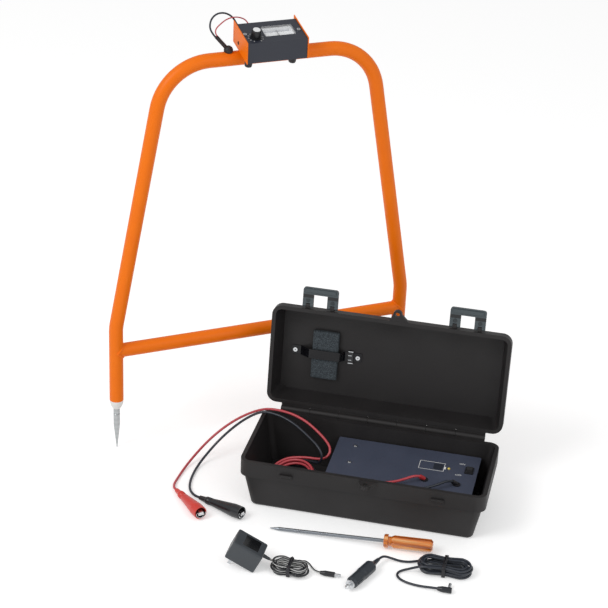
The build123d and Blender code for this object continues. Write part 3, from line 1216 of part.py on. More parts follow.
# Lead grommets: two bushes in the cover's back, and a ball on the bar with the sleeve that both leads enter
SLEEVE_AXIS = (ALONG * SLEEVE_HEADING[0] + Vector(0, 0, SLEEVE_HEADING[1])).normalized()
SLEEVE_ACROSS = (ALONG * SLEEVE_HEADING[1] - Vector(0, 0, SLEEVE_HEADING[0])).normalized()
SLEEVE_END = BALL_CENTRE + SLEEVE_AXIS * SLEEVE_LENGTH
EXIT_AT = (*box_line(BOX_BACK, BOX_HEIGHT - EXIT_DROP), 0)
with BuildPart() as lead_grommets:
    with Locations(BALL_CENTRE):
        Sphere(BALL_DIAMETER / 2)
    with BuildSketch(Plane(origin=BALL_CENTRE, z_dir=SLEEVE_AXIS)):
        Circle(SLEEVE_DIAMETER / 2)
    extrude(amount=SLEEVE_LENGTH)
    with BuildSketch(across_bar(BALL_AT - BALL_DIAMETER)):
        with Locations((0, BAR_HEIGHT)):
            Circle(TUBE_RADIUS)
    extrude(amount=2 * BALL_DIAMETER, mode=Mode.SUBTRACT)
    with BuildSketch(Plane(origin=BALL_CENTRE)):
        Circle(BALL_NECK / 2)
    extrude(amount=-BALL_RISE - TUBE_WALL)
    for exit_x in (BLACK_SIGNAL_EXIT, RED_SIGNAL_EXIT):
        with BuildSketch(Plane(origin=across_bar(exit_x).from_local_coords(EXIT_AT), z_dir=BEHIND)):
            Circle(EXIT_BUSH[0] / 2)
        extrude(amount=EXIT_BUSH[1])
write(lead_grommets, "lead_grommets")


def signal_route(exit_x, side, inner):
    """A receiver lead from its bush in the cover to its place on the end of the shared sleeve."""
    start = across_bar(exit_x).from_local_coords(EXIT_AT) + BEHIND * EXIT_BUSH[1]
    end = SLEEVE_END + SLEEVE_ACROSS * side
    return [start] + [FACE.from_local_coords(point) for point in inner] + [end]


black_route = signal_route(BLACK_SIGNAL_EXIT, BLACK_SIGNAL_SIDE, BLACK_SIGNAL_ROUTE)
red_route = signal_route(RED_SIGNAL_EXIT, RED_SIGNAL_SIDE, RED_SIGNAL_ROUTE)
black_signal = cord_tube("black receiver lead", black_route, BLACK_SIGNAL)
red_signal = cord_tube("red receiver lead", red_route, RED_SIGNAL)
with BuildPart() as receiver_leads:
    add(black_signal)
    add(red_signal)
write(receiver_leads, "receiver_leads")

# Output leads: from the panel to a coil in the left compartment, then over the case's side to a clip
COIL_LEAN = radians(COIL_TILT)
HIGH_SIDE = radians(COIL_HIGH_SIDE)
COIL_NORMAL = Vector(-sin(COIL_LEAN) * cos(HIGH_SIDE), -sin(COIL_LEAN) * sin(HIGH_SIDE), cos(COIL_LEAN))
COIL_ALONG = (Vector(-1, 0, 0) + COIL_NORMAL * COIL_NORMAL.X).normalized()
BLACK_COIL = Plane(origin=COIL_AT, x_dir=COIL_ALONG, z_dir=COIL_NORMAL)
RED_COIL = BLACK_COIL.offset(COIL_LAYERS * COIL_CLIMB + COIL_APART)
CLIP_RISE = asin((BOOT_SHOULDER[0] - BOOT_RELIEF[1]) / 2 / BOOT_SHOULDER[1])


def clip_plane(tail, mouth):
    """The clip's upright plane: local X along the clip, which rises so that its boot lies on the ground."""
    heading = atan2(mouth[1] - tail[1], mouth[0] - tail[0])
    along = (cos(heading) * cos(CLIP_RISE), sin(heading) * cos(CLIP_RISE), sin(CLIP_RISE))
    height = BOOT_SHOULDER[0] / 2 * cos(CLIP_RISE) - BOOT_SHOULDER[1] * sin(CLIP_RISE) + BOOT_REST
    return Plane(origin=(*tail, height), x_dir=along, z_dir=(sin(heading), -cos(heading), 0))


CLIPS = [clip_plane(tail, mouth) for tail, mouth in zip(CLIP_TAILS, CLIP_MOUTHS)]
LEADS = (("red", RED_COIL, COIL_INNER[1], RED_FEED, RED_FEED_LEAD, RED_TAIL_LEAD, RED_TAIL),
         ("black", BLACK_COIL, COIL_INNER[0], BLACK_FEED, BLACK_FEED_LEAD, BLACK_TAIL_LEAD, BLACK_TAIL))
for (colour, coil, inner, feed, feed_lead, tail_lead, tail), outlet, clip in zip(LEADS, OUTLET_ENDS, CLIPS):
    turns = winding_path(coil, winding_stations(inner, COIL_STEP, COIL_TURNS, COIL_LAYERS, COIL_CLIMB), 0, 1)
    coil_tube = wound_tube(f"{colour} lead coil", turns, LEAD_DIAMETER)
    coil_in = turns @ 0
    coil_out = turns @ 1
    to_coil = [outlet] + feed + [coil_in - turns % 0 * feed_lead, coil_in]
    to_clip = [coil_out, coil_out + turns % 1 * tail_lead] + tail + [clip.origin]
    feed_tube = cord_tube(f"{colour} lead to coil", to_coil, LEAD_DIAMETER)
    tail_tube = cord_tube(f"{colour} lead to clip", to_clip, LEAD_DIAMETER)
    with BuildPart() as lead_coil:
        add(coil_tube)
    write(lead_coil, f"{colour}_lead_coil")
    with BuildPart() as lead:
        add(feed_tube)
        add(tail_tube)
    write(lead, f"{colour}_lead")

# Clips: a flared boot round two toothed jaws of folded metal on one pivot pin
BOOT_FLARE = (BOOT_SHOULDER[0] - BOOT_RELIEF[1]) / 2 / (BOOT_SHOULDER[1] - BOOT_RELIEF[2])
HOLLOW_RADIUS = BOOT_RELIEF[1] / 2 + BOOT_FLARE * (BOOT_HOLLOW - BOOT_RELIEF[2]) - BOOT_WALL
BOOT_OUTLINE = [(0, 0), (0, BOOT_RELIEF[0] / 2), (BOOT_RELIEF[2], BOOT_RELIEF[1] / 2),
                (BOOT_SHOULDER[1], BOOT_SHOULDER[0] / 2), (CLIP_LENGTH, BOOT_MOUTH / 2),
                (CLIP_LENGTH, BOOT_MOUTH / 2 - BOOT_WALL),
                (BOOT_SHOULDER[1], BOOT_SHOULDER[0] / 2 - BOOT_WALL), (BOOT_HOLLOW, HOLLOW_RADIUS),
                (BOOT_HOLLOW, 0)]
JAW_TIP = CLIP_LENGTH + JAW_REACH
JAW_BEND = JAW_TIP - JAW_WIDTH / 2
JAW_SHANK = JAW_PIVOT - 2 * JAW_EAR
TEETH_START = JAW_TIP - JAW_TEETH * TOOTH_PITCH


def teeth(base):
    """Saw teeth from the tip of a jaw back towards its pivot, rising from a base line."""
    points = []
    for k in range(JAW_TEETH):
        points.append((JAW_TIP - k * TOOTH_PITCH, base))
        points.append((JAW_TIP - (k + 0.5) * TOOTH_PITCH, base + TOOTH_HEIGHT))
    return points + [(TEETH_START, base)]


def jaw(clip, outline, hollow, width):
    """A jaw of folded metal: a solid outline across its width, less the channel between its two walls."""
    with BuildPart() as metal:
        with BuildSketch(clip) as side:
            with BuildLine():
                Polyline(*outline, close=True)
            make_face()
        extrude(side.sketch, amount=width / 2, both=True)
        with BuildSketch(clip) as channel:
            with BuildLine():
                Polyline(*hollow, close=True)
            make_face()
        extrude(channel.sketch, amount=width / 2 - JAW_METAL, both=True, mode=Mode.SUBTRACT)
    return metal.part


LOWER_BASE = -TOOTH_HEIGHT
UPPER_BASE = LOWER_BASE + TEETH_GAP
FIXED_OUTLINE = [(BOOT_HOLLOW, -JAW_EAR), (JAW_PIVOT, -JAW_EAR - JAW_SAG), (JAW_BEND, -JAW_DEPTH),
                 (JAW_TIP, -JAW_DEPTH / 2)] + teeth(LOWER_BASE)
FIXED_OUTLINE += [(JAW_PIVOT + 2 * JAW_EAR, LOWER_BASE), (JAW_PIVOT + JAW_EAR, JAW_EAR),
                  (JAW_PIVOT - JAW_EAR, JAW_EAR), (JAW_SHANK, -JAW_METAL), (BOOT_HOLLOW, -JAW_METAL)]
FIXED_HOLLOW = [(JAW_SHANK, JAW_DEPTH), (JAW_SHANK, -JAW_EAR), (JAW_PIVOT, -JAW_EAR - JAW_SAG + JAW_METAL),
                (JAW_BEND, -JAW_DEPTH + JAW_METAL), (JAW_TIP - JAW_METAL, -JAW_DEPTH / 2 + JAW_METAL),
                (JAW_TIP - JAW_METAL, JAW_DEPTH)]
MOVING_OUTLINE = [(JAW_TIP, JAW_CROWN / 2), (JAW_BEND, JAW_CROWN), (JAW_PIVOT + 3 * JAW_EAR, JAW_CROWN),
                  (JAW_PIVOT - JAW_EAR, JAW_EAR), (BOOT_HOLLOW + JAW_SAG, JAW_EAR),
                  (BOOT_HOLLOW + JAW_SAG, JAW_METAL), (JAW_SHANK, JAW_METAL),
                  (JAW_PIVOT - JAW_EAR, -JAW_EAR), (JAW_PIVOT + JAW_EAR, -JAW_EAR)]
MOVING_OUTLINE += teeth(UPPER_BASE)[::-1]
MOVING_HOLLOW = [(JAW_PIVOT + 3 * JAW_EAR, -JAW_EAR), (JAW_PIVOT + 3 * JAW_EAR, JAW_CROWN - JAW_METAL),
                 (JAW_BEND, JAW_CROWN - JAW_METAL), (JAW_TIP - JAW_METAL, (JAW_CROWN - JAW_METAL) / 2),
                 (JAW_TIP - JAW_METAL, -JAW_EAR)]
MOVING_WIDTH = JAW_WIDTH - 2 * JAW_METAL - 2 * SIDE_GAP
lower_jaws = [jaw(clip, FIXED_OUTLINE, FIXED_HOLLOW, JAW_WIDTH) for clip in CLIPS]
for colour, clip in zip(("red", "black"), CLIPS):
    boot_shell = turned(clip, BOOT_OUTLINE)
    upper_jaw = jaw(clip, MOVING_OUTLINE, MOVING_HOLLOW, MOVING_WIDTH)
    with BuildPart() as boot:
        add(boot_shell)
    write(boot, f"{colour}_clip_boot")
    with BuildPart() as moving_jaw:
        add(upper_jaw)
        with BuildSketch(clip):
            with Locations((JAW_PIVOT, 0)):
                Circle(CLIP_PIN / 2 + RUNNING)
        extrude(amount=JAW_WIDTH, both=True, mode=Mode.SUBTRACT)
    write(moving_jaw, f"{colour}_moving_jaw")
with BuildPart() as fixed_jaws:
    for lower_jaw, clip in zip(lower_jaws, CLIPS):
        add(lower_jaw)
        with BuildSketch(clip):
            with Locations((JAW_PIVOT, 0)):
                Circle(CLIP_PIN / 2)
        extrude(amount=JAW_WIDTH / 2, both=True)
write(fixed_jaws, "fixed_jaws")

# Ground stake: lies on the shoulder of its point and on the collar of its handle
COLLAR_START = STAKE_LENGTH + COLLAR_EDGE
COLLAR_END = STAKE_LENGTH + COLLAR[1]
GRIP_END = STAKE_LENGTH + GRIP_LENGTH
TANG_END = STAKE_LENGTH + STAKE_TANG
STAKE_RISE = atan2((COLLAR[0] - STAKE_ROD) / 2, COLLAR_START - STAKE_POINT[1])
STAKE_TURN = radians(STAKE_HEADING)
STAKE_ALONG = (cos(STAKE_TURN) * cos(STAKE_RISE), sin(STAKE_TURN) * cos(STAKE_RISE), sin(STAKE_RISE))
STAKE_HEIGHT = STAKE_ROD / 2 * cos(STAKE_RISE) - STAKE_POINT[1] * sin(STAKE_RISE) + FIT
STAKE = Plane(origin=(*STAKE_TIP, STAKE_HEIGHT), x_dir=STAKE_ALONG,
              z_dir=(sin(STAKE_TURN), -cos(STAKE_TURN), 0))
stake_turning = turned(STAKE, [(0, 0), (0, STAKE_POINT[0] / 2), (STAKE_POINT[1], STAKE_ROD / 2),
                               (TANG_END, STAKE_ROD / 2), (TANG_END, 0)])
grip_turning = turned(STAKE, [
    (STAKE_LENGTH, STAKE_ROD / 2), (STAKE_LENGTH, COLLAR[0] / 2 - COLLAR_EDGE), (COLLAR_START, COLLAR[0] / 2),
    (COLLAR_END, COLLAR[0] / 2), (COLLAR_END + COLLAR_EDGE, COLLAR_NECK[0] / 2),
    (COLLAR_END + COLLAR_NECK[1], COLLAR_NECK[0] / 2), (COLLAR_END + 2 * COLLAR_NECK[1], GRIP_DIAMETER / 2),
    (GRIP_END - GRIP_ROUND, GRIP_DIAMETER / 2), (GRIP_END, GRIP_DIAMETER / 2 - GRIP_ROUND), (GRIP_END, 0),
    (TANG_END, 0), (TANG_END, STAKE_ROD / 2)])
FLUTE_PLANE = Plane(origin=STAKE.from_local_coords((COLLAR_END + COLLAR_NECK[1], 0, 0)), x_dir=STAKE.y_dir,
                    z_dir=STAKE.x_dir)
with BuildPart() as stake_rod:
    add(stake_turning)
write(stake_rod, "stake_rod")
with BuildPart() as stake_handle:
    add(grip_turning)
    with BuildSketch(FLUTE_PLANE):
        with PolarLocations(GRIP_DIAMETER / 2 + FLUTE_RADIUS - FLUTE_DEPTH, FLUTES, start_angle=180 / FLUTES):
            Circle(FLUTE_RADIUS)
    extrude(amount=GRIP_LENGTH, mode=Mode.SUBTRACT)
write(stake_handle, "stake_handle")

# Mains adapter: tilted so that the blade tips and the rounded lower edge both touch the ground
HALF_X = ADAPTER_SIZE[0] / 2
HALF_Z = ADAPTER_SIZE[2] / 2
BLADE_SIDE = BLADE_AT + BLADE_SIZE[0] / 2
REST_RUN = HALF_X - ADAPTER_EDGE - BLADE_SIDE
REST_DROP = BLADE_SIZE[2] + ADAPTER_EDGE
ADAPTER_TILT = atan2(REST_DROP, REST_RUN) - asin(ADAPTER_EDGE / hypot(REST_DROP, REST_RUN))
ADAPTER_HEIGHT = BLADE_SIDE * sin(ADAPTER_TILT) + (HALF_Z + BLADE_SIZE[2]) * cos(ADAPTER_TILT)
ADAPTER = Plane(origin=(*ADAPTER_AT, ADAPTER_HEIGHT), x_dir=(cos(ADAPTER_TILT), 0, -sin(ADAPTER_TILT)),
                z_dir=(sin(ADAPTER_TILT), 0, cos(ADAPTER_TILT)))
ADAPTER_UP = Axis(ADAPTER.origin, ADAPTER.z_dir)
SPLIT_AT = -HALF_Z + ADAPTER_SPLIT
CORE_BOTTOM = -HALF_Z + ADAPTER_WALL
INSIDE = [size - 2 * ADAPTER_WALL for size in ADAPTER_SIZE]
with BuildPart() as adapter_base:
    with BuildSketch(ADAPTER.offset(-HALF_Z)):
        RectangleRounded(ADAPTER_SIZE[0], ADAPTER_SIZE[1], ADAPTER_CORNER)
    extrude(amount=ADAPTER_SPLIT)
    fillet(adapter_base.faces().sort_by(ADAPTER_UP)[0].edges(), ADAPTER_EDGE)
    with BuildSketch(ADAPTER.offset(CORE_BOTTOM)):
        RectangleRounded(INSIDE[0], INSIDE[1], ADAPTER_CORNER - ADAPTER_WALL)
    extrude(amount=ADAPTER_SPLIT, mode=Mode.SUBTRACT)
    with BuildSketch(ADAPTER.offset(-HALF_Z)):
        with Locations((BLADE_AT, 0)):
            with GridLocations(1, BLADE_GAP, 1, 2):
                Rectangle(BLADE_SIZE[0], BLADE_SIZE[1])
    extrude(amount=ADAPTER_WALL, mode=Mode.SUBTRACT)
write(adapter_base, "adapter_base")

RELIEF_ROOT = Plane(origin=ADAPTER.from_local_coords((HALF_X, RELIEF_SIDE, 0)), x_dir=ADAPTER.x_dir,
                    z_dir=ADAPTER.z_dir)
RELIEF_END = RELIEF_ROOT.from_local_coords((RELIEF[2], 0, 0))
RELIEF_AHEAD = RELIEF_ROOT.from_local_coords((RELIEF[2] + RELIEF_RUN, 0, 0))
relief_cone = turned(RELIEF_ROOT, [(-ADAPTER_WALL, 0), (-ADAPTER_WALL, RELIEF[0] / 2), (0, RELIEF[0] / 2),
                                   (RELIEF[2], RELIEF[1] / 2), (RELIEF[2], 0)])
with BuildPart() as adapter_top:
    with BuildSketch(ADAPTER.offset(SPLIT_AT)):
        RectangleRounded(ADAPTER_SIZE[0], ADAPTER_SIZE[1], ADAPTER_CORNER)
    extrude(amount=HALF_Z - SPLIT_AT)
    fillet(adapter_top.faces().sort_by(ADAPTER_UP)[-1].edges(), ADAPTER_EDGE)
    with BuildSketch(ADAPTER.offset(SPLIT_AT)):
        RectangleRounded(INSIDE[0], INSIDE[1], ADAPTER_CORNER - ADAPTER_WALL)
    extrude(amount=HALF_Z - SPLIT_AT - ADAPTER_WALL, mode=Mode.SUBTRACT)
    add(relief_cone)
write(adapter_top, "adapter_top")

with BuildPart() as adapter_core:
    with BuildSketch(ADAPTER.offset(CORE_BOTTOM)):
        Rectangle(ADAPTER_CORE[0], ADAPTER_CORE[1])
    extrude(amount=ADAPTER_CORE[2])
    with BuildSketch(ADAPTER.offset(CORE_BOTTOM)):
        with Locations((BLADE_AT, 0)):
            with GridLocations(1, BLADE_GAP, 1, 2):
                Rectangle(BLADE_SIZE[0], BLADE_SIZE[1])
    extrude(amount=-ADAPTER_WALL - BLADE_SIZE[2])
write(adapter_core, "adapter_core")


def hank(name, centre, inner, run, cord, ends_behind):
    """A tied hank of cord: its one unbroken tube, the band round its waist and the tube's path."""
    climb = cord + HANK_CLEAR
    lift = TIE_THICK + SOFT_GAP + cord / 2
    stations = winding_stations(inner, climb / HANK_WAIST, HANK_TURNS, HANK_LAYERS, climb)
    kept = stations[:-1] if ends_behind else stations
    path = winding_path(Plane(origin=(*centre, lift)), kept, run, HANK_WAIST)
    tube = wound_tube(name, path, cord)
    waist = stations[0][0] * HANK_WAIST + cord / 2 + 3 * SOFT_GAP
    tall = (HANK_LAYERS - 1) * climb + cord + 2 * SOFT_GAP
    with BuildPart() as band:
        with BuildSketch(Plane(origin=(centre[0] - TIE_WIDTH / 2, centre[1], TIE_THICK + tall / 2),
                               x_dir=(0, 1, 0), z_dir=(1, 0, 0))) as loop:
            RectangleRounded(2 * waist + 2 * TIE_THICK, tall + 2 * TIE_THICK, 2 * TIE_THICK)
            RectangleRounded(2 * waist, tall, TIE_THICK, mode=Mode.SUBTRACT)
        extrude(loop.sketch, amount=TIE_WIDTH)
    return tube, band.part, path


mains_tube, mains_band, mains_path = hank("mains hank", MAINS_HANK_AT, MAINS_HANK_INNER, MAINS_HANK_RUN,
                                          MAINS_CORD, True)
with BuildPart() as adapter_hank:
    add(mains_tube)
    add(mains_band)
write(adapter_hank, "adapter_hank")

BARREL = Plane(origin=(*BARREL_AT, BARREL_BODY[0] / 2))
mains_start = [RELIEF_END, RELIEF_AHEAD] + MAINS_ENTRY + [mains_path @ 0]
mains_in = cord_tube("mains cord to hank", mains_start, MAINS_CORD)
mains_out = cord_tube("mains cord to plug", [mains_path @ 1] + MAINS_EXIT + [BARREL.origin], MAINS_CORD)
with BuildPart() as adapter_cord:
    add(mains_in)
    add(mains_out)
write(adapter_cord, "adapter_cord")

BARREL_END = BARREL_BODY[1] + BARREL_TIP[1]
barrel_turning = turned(BARREL, [(0, 0), (0, MAINS_CORD / 2 + 1), (BARREL_BODY[1] / 3, BARREL_BODY[0] / 2),
                                 (BARREL_BODY[1], BARREL_BODY[0] / 2), (BARREL_BODY[1], BARREL_TIP[0] / 2),
                                 (BARREL_END, BARREL_TIP[0] / 2), (BARREL_END, BARREL_TIP[0] / 4),
                                 (BARREL_BODY[1], BARREL_TIP[0] / 4), (BARREL_BODY[1], 0)])
with BuildPart() as adapter_plug:
    add(barrel_turning)
write(adapter_plug, "adapter_plug")

# Vehicle adapter: a socket plug with a sprung nose contact and two side contacts
CAR_HEADING = atan2(CAR_TAIL[1] - CAR_NOSE[1], CAR_TAIL[0] - CAR_NOSE[0])
CAR_LENGTH = hypot(CAR_TAIL[1] - CAR_NOSE[1], CAR_TAIL[0] - CAR_NOSE[0])
CAR = Plane(origin=(*CAR_NOSE, CAR_GRIP / 2), x_dir=(cos(CAR_HEADING), sin(CAR_HEADING), 0),
            z_dir=(sin(CAR_HEADING), -cos(CAR_HEADING), 0))
TIP_BORE = CAR_TIP_STEM[0] / 2 + RUNNING
TIP_WELL = CAR_TIP_STEM[1] + CAR_TIP_TRAVEL + SOFT_GAP
CAR_END = CAR_LENGTH + CAR_RELIEF[2]
car_turning = turned(CAR, [
    (0, TIP_BORE), (0, CAR_SHOULDER[0] / 2), (CAR_SHOULDER[1] / 2, CAR_SHOULDER[0] / 2),
    (CAR_SHOULDER[1], CAR_BARREL[0] / 2), (CAR_BARREL[1], CAR_BARREL[0] / 2),
    (CAR_BARREL[1] + 1, CAR_GRIP / 2), (CAR_LENGTH - CAR_GRIP / 2, CAR_GRIP / 2),
    (CAR_LENGTH, CAR_RELIEF[0] / 2), (CAR_END, CAR_RELIEF[1] / 2), (CAR_END, 0),
    (TIP_WELL, 0), (TIP_WELL, TIP_BORE)])
with BuildPart() as car_plug_body:
    add(car_turning)
    for way in (1, -1):
        with BuildSketch(Plane(origin=CAR.from_local_coords((CAR_CONTACT_AT, 0, 0)), x_dir=CAR.x_dir,
                               z_dir=CAR.z_dir * way)):
            SlotOverall(CAR_CONTACT[0], CAR_CONTACT[1])
        extrude(amount=CAR_BARREL[0] / 2 + CAR_CONTACT[2])
    with BuildSketch(Plane(origin=CAR.origin, x_dir=CAR.y_dir, z_dir=CAR.x_dir)):
        Circle(TIP_BORE)
    extrude(amount=TIP_WELL, mode=Mode.SUBTRACT)
write(car_plug_body, "car_plug_body")

TIP_BACK = -CAR_TIP_TRAVEL - SOFT_GAP
TIP_FRONT = TIP_BACK - CAR_TIP[1]
STEM_END = CAR_TIP_STEM[1] - CAR_TIP_TRAVEL
tip_turning = turned(CAR, [
    (TIP_FRONT, 0), (TIP_FRONT, CAR_TIP[0] / 4), (TIP_FRONT + CAR_TIP[1] / 2, CAR_TIP[0] / 2),
    (TIP_BACK, CAR_TIP[0] / 2), (TIP_BACK, CAR_TIP_STEM[0] / 2),
    (STEM_END, CAR_TIP_STEM[0] / 2), (STEM_END, 0)])
with BuildPart() as car_plug_tip:
    add(tip_turning)
write(car_plug_tip, "car_plug_tip")

car_tube, car_band, car_path = hank("vehicle hank", CAR_HANK_AT, CAR_HANK_INNER, CAR_HANK_RUN, CAR_CORD,
                                    False)
with BuildPart() as car_hank:
    add(car_tube)
    add(car_band)
write(car_hank, "car_hank")

ELBOW = Plane(origin=(*ELBOW_AT, ELBOW_BODY[0] / 2))
CAR_CORD_START = CAR.from_local_coords((CAR_END, 0, 0))
car_in = cord_tube("vehicle cord to hank", [CAR_CORD_START] + CAR_ENTRY + [car_path @ 0], CAR_CORD)
car_out = cord_tube("vehicle cord to plug", [car_path @ 1] + CAR_EXIT + [ELBOW.origin], CAR_CORD)
with BuildPart() as car_cord:
    add(car_in)
    add(car_out)
write(car_cord, "car_cord")

ELBOW_BEND = ELBOW_BODY[1] - ELBOW_BODY[0] / 2
ELBOW_END = ELBOW_BODY[0] / 2 + ELBOW_TIP[1]
elbow_turning = turned(ELBOW, [(0, 0), (0, CAR_CORD / 2 + 1), (ELBOW_BODY[1] / 3, ELBOW_BODY[0] / 2),
                               (ELBOW_BODY[1], ELBOW_BODY[0] / 2), (ELBOW_BODY[1], 0)])
elbow_pin = turned(Plane(origin=ELBOW.from_local_coords((ELBOW_BEND, 0, 0)), x_dir=(0, 1, 0)),
                   [(0, 0), (0, ELBOW_TIP[0] / 2), (ELBOW_END, ELBOW_TIP[0] / 2), (ELBOW_END, 0)])
with BuildPart() as car_angle_plug:
    add(elbow_turning)
    add(elbow_pin)
write(car_angle_plug, "car_angle_plug")
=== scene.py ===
# %% [markdown]
# # A ground fault locator kit
#
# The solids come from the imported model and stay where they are. This lesson gives them their finishes,
# and makes the soft and fine pieces that solids are poor at: cords, foam, weld beads, printed marks.

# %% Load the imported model
import math

import bmesh
import bpy
from mathutils import Matrix, Vector


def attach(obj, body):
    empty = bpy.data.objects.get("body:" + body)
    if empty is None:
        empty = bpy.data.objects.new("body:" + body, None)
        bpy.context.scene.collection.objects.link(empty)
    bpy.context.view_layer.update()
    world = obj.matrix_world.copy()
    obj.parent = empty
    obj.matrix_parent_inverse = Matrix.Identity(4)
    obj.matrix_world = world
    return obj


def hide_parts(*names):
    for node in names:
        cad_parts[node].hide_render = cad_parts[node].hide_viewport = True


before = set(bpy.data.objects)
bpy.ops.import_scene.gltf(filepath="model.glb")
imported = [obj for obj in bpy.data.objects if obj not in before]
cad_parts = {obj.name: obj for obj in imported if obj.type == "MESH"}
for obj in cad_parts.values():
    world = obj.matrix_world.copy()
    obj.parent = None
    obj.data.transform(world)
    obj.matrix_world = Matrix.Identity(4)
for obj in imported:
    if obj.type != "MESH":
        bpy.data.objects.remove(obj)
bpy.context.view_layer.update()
scene = bpy.context.scene
MM = 0.001

# %% [markdown]
# ## The camera
#
# The photograph was taken from the front right with a long lens and a slight roll. A matrix could place the
# camera at once, but a target on the floor, two angles and a distance say more to a reader. The lens follows
# from the focal length in pixels and the width of the picture.

# %% Camera
PICTURE_PX, FOCAL_PX, SENSOR_WIDTH = 608, 1829.9, 36.0
AZIMUTH = math.radians(11.72)
ELEVATION = math.radians(27.19)
ROLL = math.radians(2.5)
TARGET = Vector((-277.5, 702.1, 0.0)) * MM
DISTANCE, VIEW_DEPTH = 3.9173, 50.0

back = Vector((math.sin(AZIMUTH) * math.cos(ELEVATION), -math.cos(AZIMUTH) * math.cos(ELEVATION),
               math.sin(ELEVATION)))
level = Vector((math.cos(AZIMUTH), math.sin(AZIMUTH), 0.0))
upright = back.cross(level)
rolled_right = level * math.cos(ROLL) + upright * math.sin(ROLL)
rolled_up = upright * math.cos(ROLL) - level * math.sin(ROLL)
camera_data = bpy.data.cameras.new("camera")
camera_data.sensor_width = SENSOR_WIDTH
camera_data.lens = SENSOR_WIDTH * FOCAL_PX / PICTURE_PX
camera_data.clip_end = VIEW_DEPTH
camera = bpy.data.objects.new("camera", camera_data)
camera.matrix_world = Matrix.Translation(TARGET + back * DISTANCE) @ Matrix(
    (rolled_right, rolled_up, back)).transposed().to_4x4()
scene.collection.objects.link(camera)
scene.camera = camera
print("camera at", [round(v, 3) for v in camera.location], "lens", round(camera_data.lens, 1))

# %% [markdown]
# ## Small helpers
#
# Colours are written as the hex values that a paint chart gives, and one function turns them to the linear
# values that shaders use. One more function adds a node, sets its properties and fills its inputs. Every
# material below is made with these two. The others start a finish, put it on solids, and hand a new piece
# over to the body that it moves with.


# %% Colour, node and piece helpers
def linear(code):
    """A hex colour such as #ff8800 as linear red, green, blue and alpha."""
    channels = [int(code[k:k + 2], 16) / 255 for k in (1, 3, 5)]
    lit = [c / 12.92 if c <= 0.04045 else ((c + 0.055) / 1.055) ** 2.4 for c in channels]
    return (*lit, 1.0)


def add_node(tree, kind, inputs=None, **settings):
    """Adds a node: settings are its properties, inputs are values or sockets by name or number."""
    made = tree.nodes.new(kind)
    for name, value in settings.items():
        setattr(made, name, value)
    for key, value in (inputs or {}).items():
        if isinstance(value, bpy.types.NodeSocket):
            tree.links.new(value, made.inputs[key])
        else:
            made.inputs[key].default_value = value
    return made


def new_finish(name, values):
    """A material with a Principled shader whose own sockets hold the constant values."""
    material = bpy.data.materials.new(name)
    material.use_nodes = True
    shader = material.node_tree.nodes["Principled BSDF"]
    for socket, value in values.items():
        shader.inputs[socket].default_value = value
    return material, material.node_tree, shader


def feed(tree, shader, sockets):
    """Links patterns to the shader's inputs of these names."""
    for name, socket in sockets.items():
        tree.links.new(socket, shader.inputs[name])


def dress(material, *names):
    """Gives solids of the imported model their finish."""
    for name in names:
        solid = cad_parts[name]
        solid.data.materials.clear()
        solid.data.materials.append(material)
    print(material.name, "on", ", ".join(names))


def place_piece(name, data, material, body, stands_for=()):
    """Links a finished mesh or curve, gives it its material and lets it ride on its body."""
    data.name = name
    made = bpy.data.objects.new(name, data)
    scene.collection.objects.link(made)
    data.materials.clear()
    data.materials.append(material)
    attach(made, body)
    if stands_for:
        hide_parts(*stands_for)
    return made


def mesh_from(shape, scale=1.0, smooth=False):
    """Turns a bmesh into a plain mesh: scaled, faces outwards, smooth or flat."""
    bmesh.ops.scale(shape, vec=(scale, scale, scale), verts=shape.verts)
    bmesh.ops.recalc_face_normals(shape, faces=shape.faces)
    mesh = bpy.data.meshes.new("piece")
    shape.to_mesh(mesh)
    shape.free()
    for face in mesh.polygons:
        face.use_smooth = smooth
    return mesh


WHITE = linear("#ffffff")
print("middle grey in linear light", round(linear("#808080")[0], 3))

# %% [markdown]
# ## Floor and light
#
# The photograph is a cut-out on white. A pale floor carries a soft shadow, and a little glow that only the
# camera and reflections see lifts it to white without adding light to the object. A large lamp at the upper
# left front, a weaker one at the right and an even sky give the flat light of a catalogue picture.

# %% Floor
FLOOR_HALF, FLOOR_DROP, FLOOR_GLOW = 9.0, 0.0004, 0.34
floor_mesh = bpy.data.meshes.new("floor")
floor_mesh.from_pydata([(x * FLOOR_HALF, y * FLOOR_HALF, -FLOOR_DROP)
                        for x, y in ((-1, -1), (1, -1), (1, 1), (-1, 1))], [], [(0, 1, 2, 3)])
floor = bpy.data.objects.new("floor", floor_mesh)
scene.collection.objects.link(floor)
# Matt white paper: the shadow stays, and the glow takes the rest of it to white.
paper = bpy.data.materials.new("white_paper_floor")
paper.use_nodes = True
tree = paper.node_tree
tree.nodes.clear()
path = add_node(tree, "ShaderNodeLightPath")
seen = add_node(tree, "ShaderNodeMath", {0: path.outputs["Is Camera Ray"], 1: path.outputs["Is Glossy Ray"]},
                operation="MAXIMUM")
seen = add_node(tree, "ShaderNodeMath", {0: seen.outputs[0], 1: path.outputs["Is Transmission Ray"]},
                operation="MAXIMUM")
lift = add_node(tree, "ShaderNodeMath", {0: seen.outputs[0], 1: FLOOR_GLOW}, operation="MULTIPLY")
matt = add_node(tree, "ShaderNodeBsdfDiffuse", {"Color": linear("#f2f2f2")})
glow = add_node(tree, "ShaderNodeEmission", {"Color": WHITE, "Strength": lift.outputs[0]})
both = add_node(tree, "ShaderNodeAddShader", {0: matt.outputs[0], 1: glow.outputs[0]})
add_node(tree, "ShaderNodeOutputMaterial", {"Surface": both.outputs[0]})
floor_mesh.materials.append(paper)
print("floor", 2 * FLOOR_HALF, "m wide")

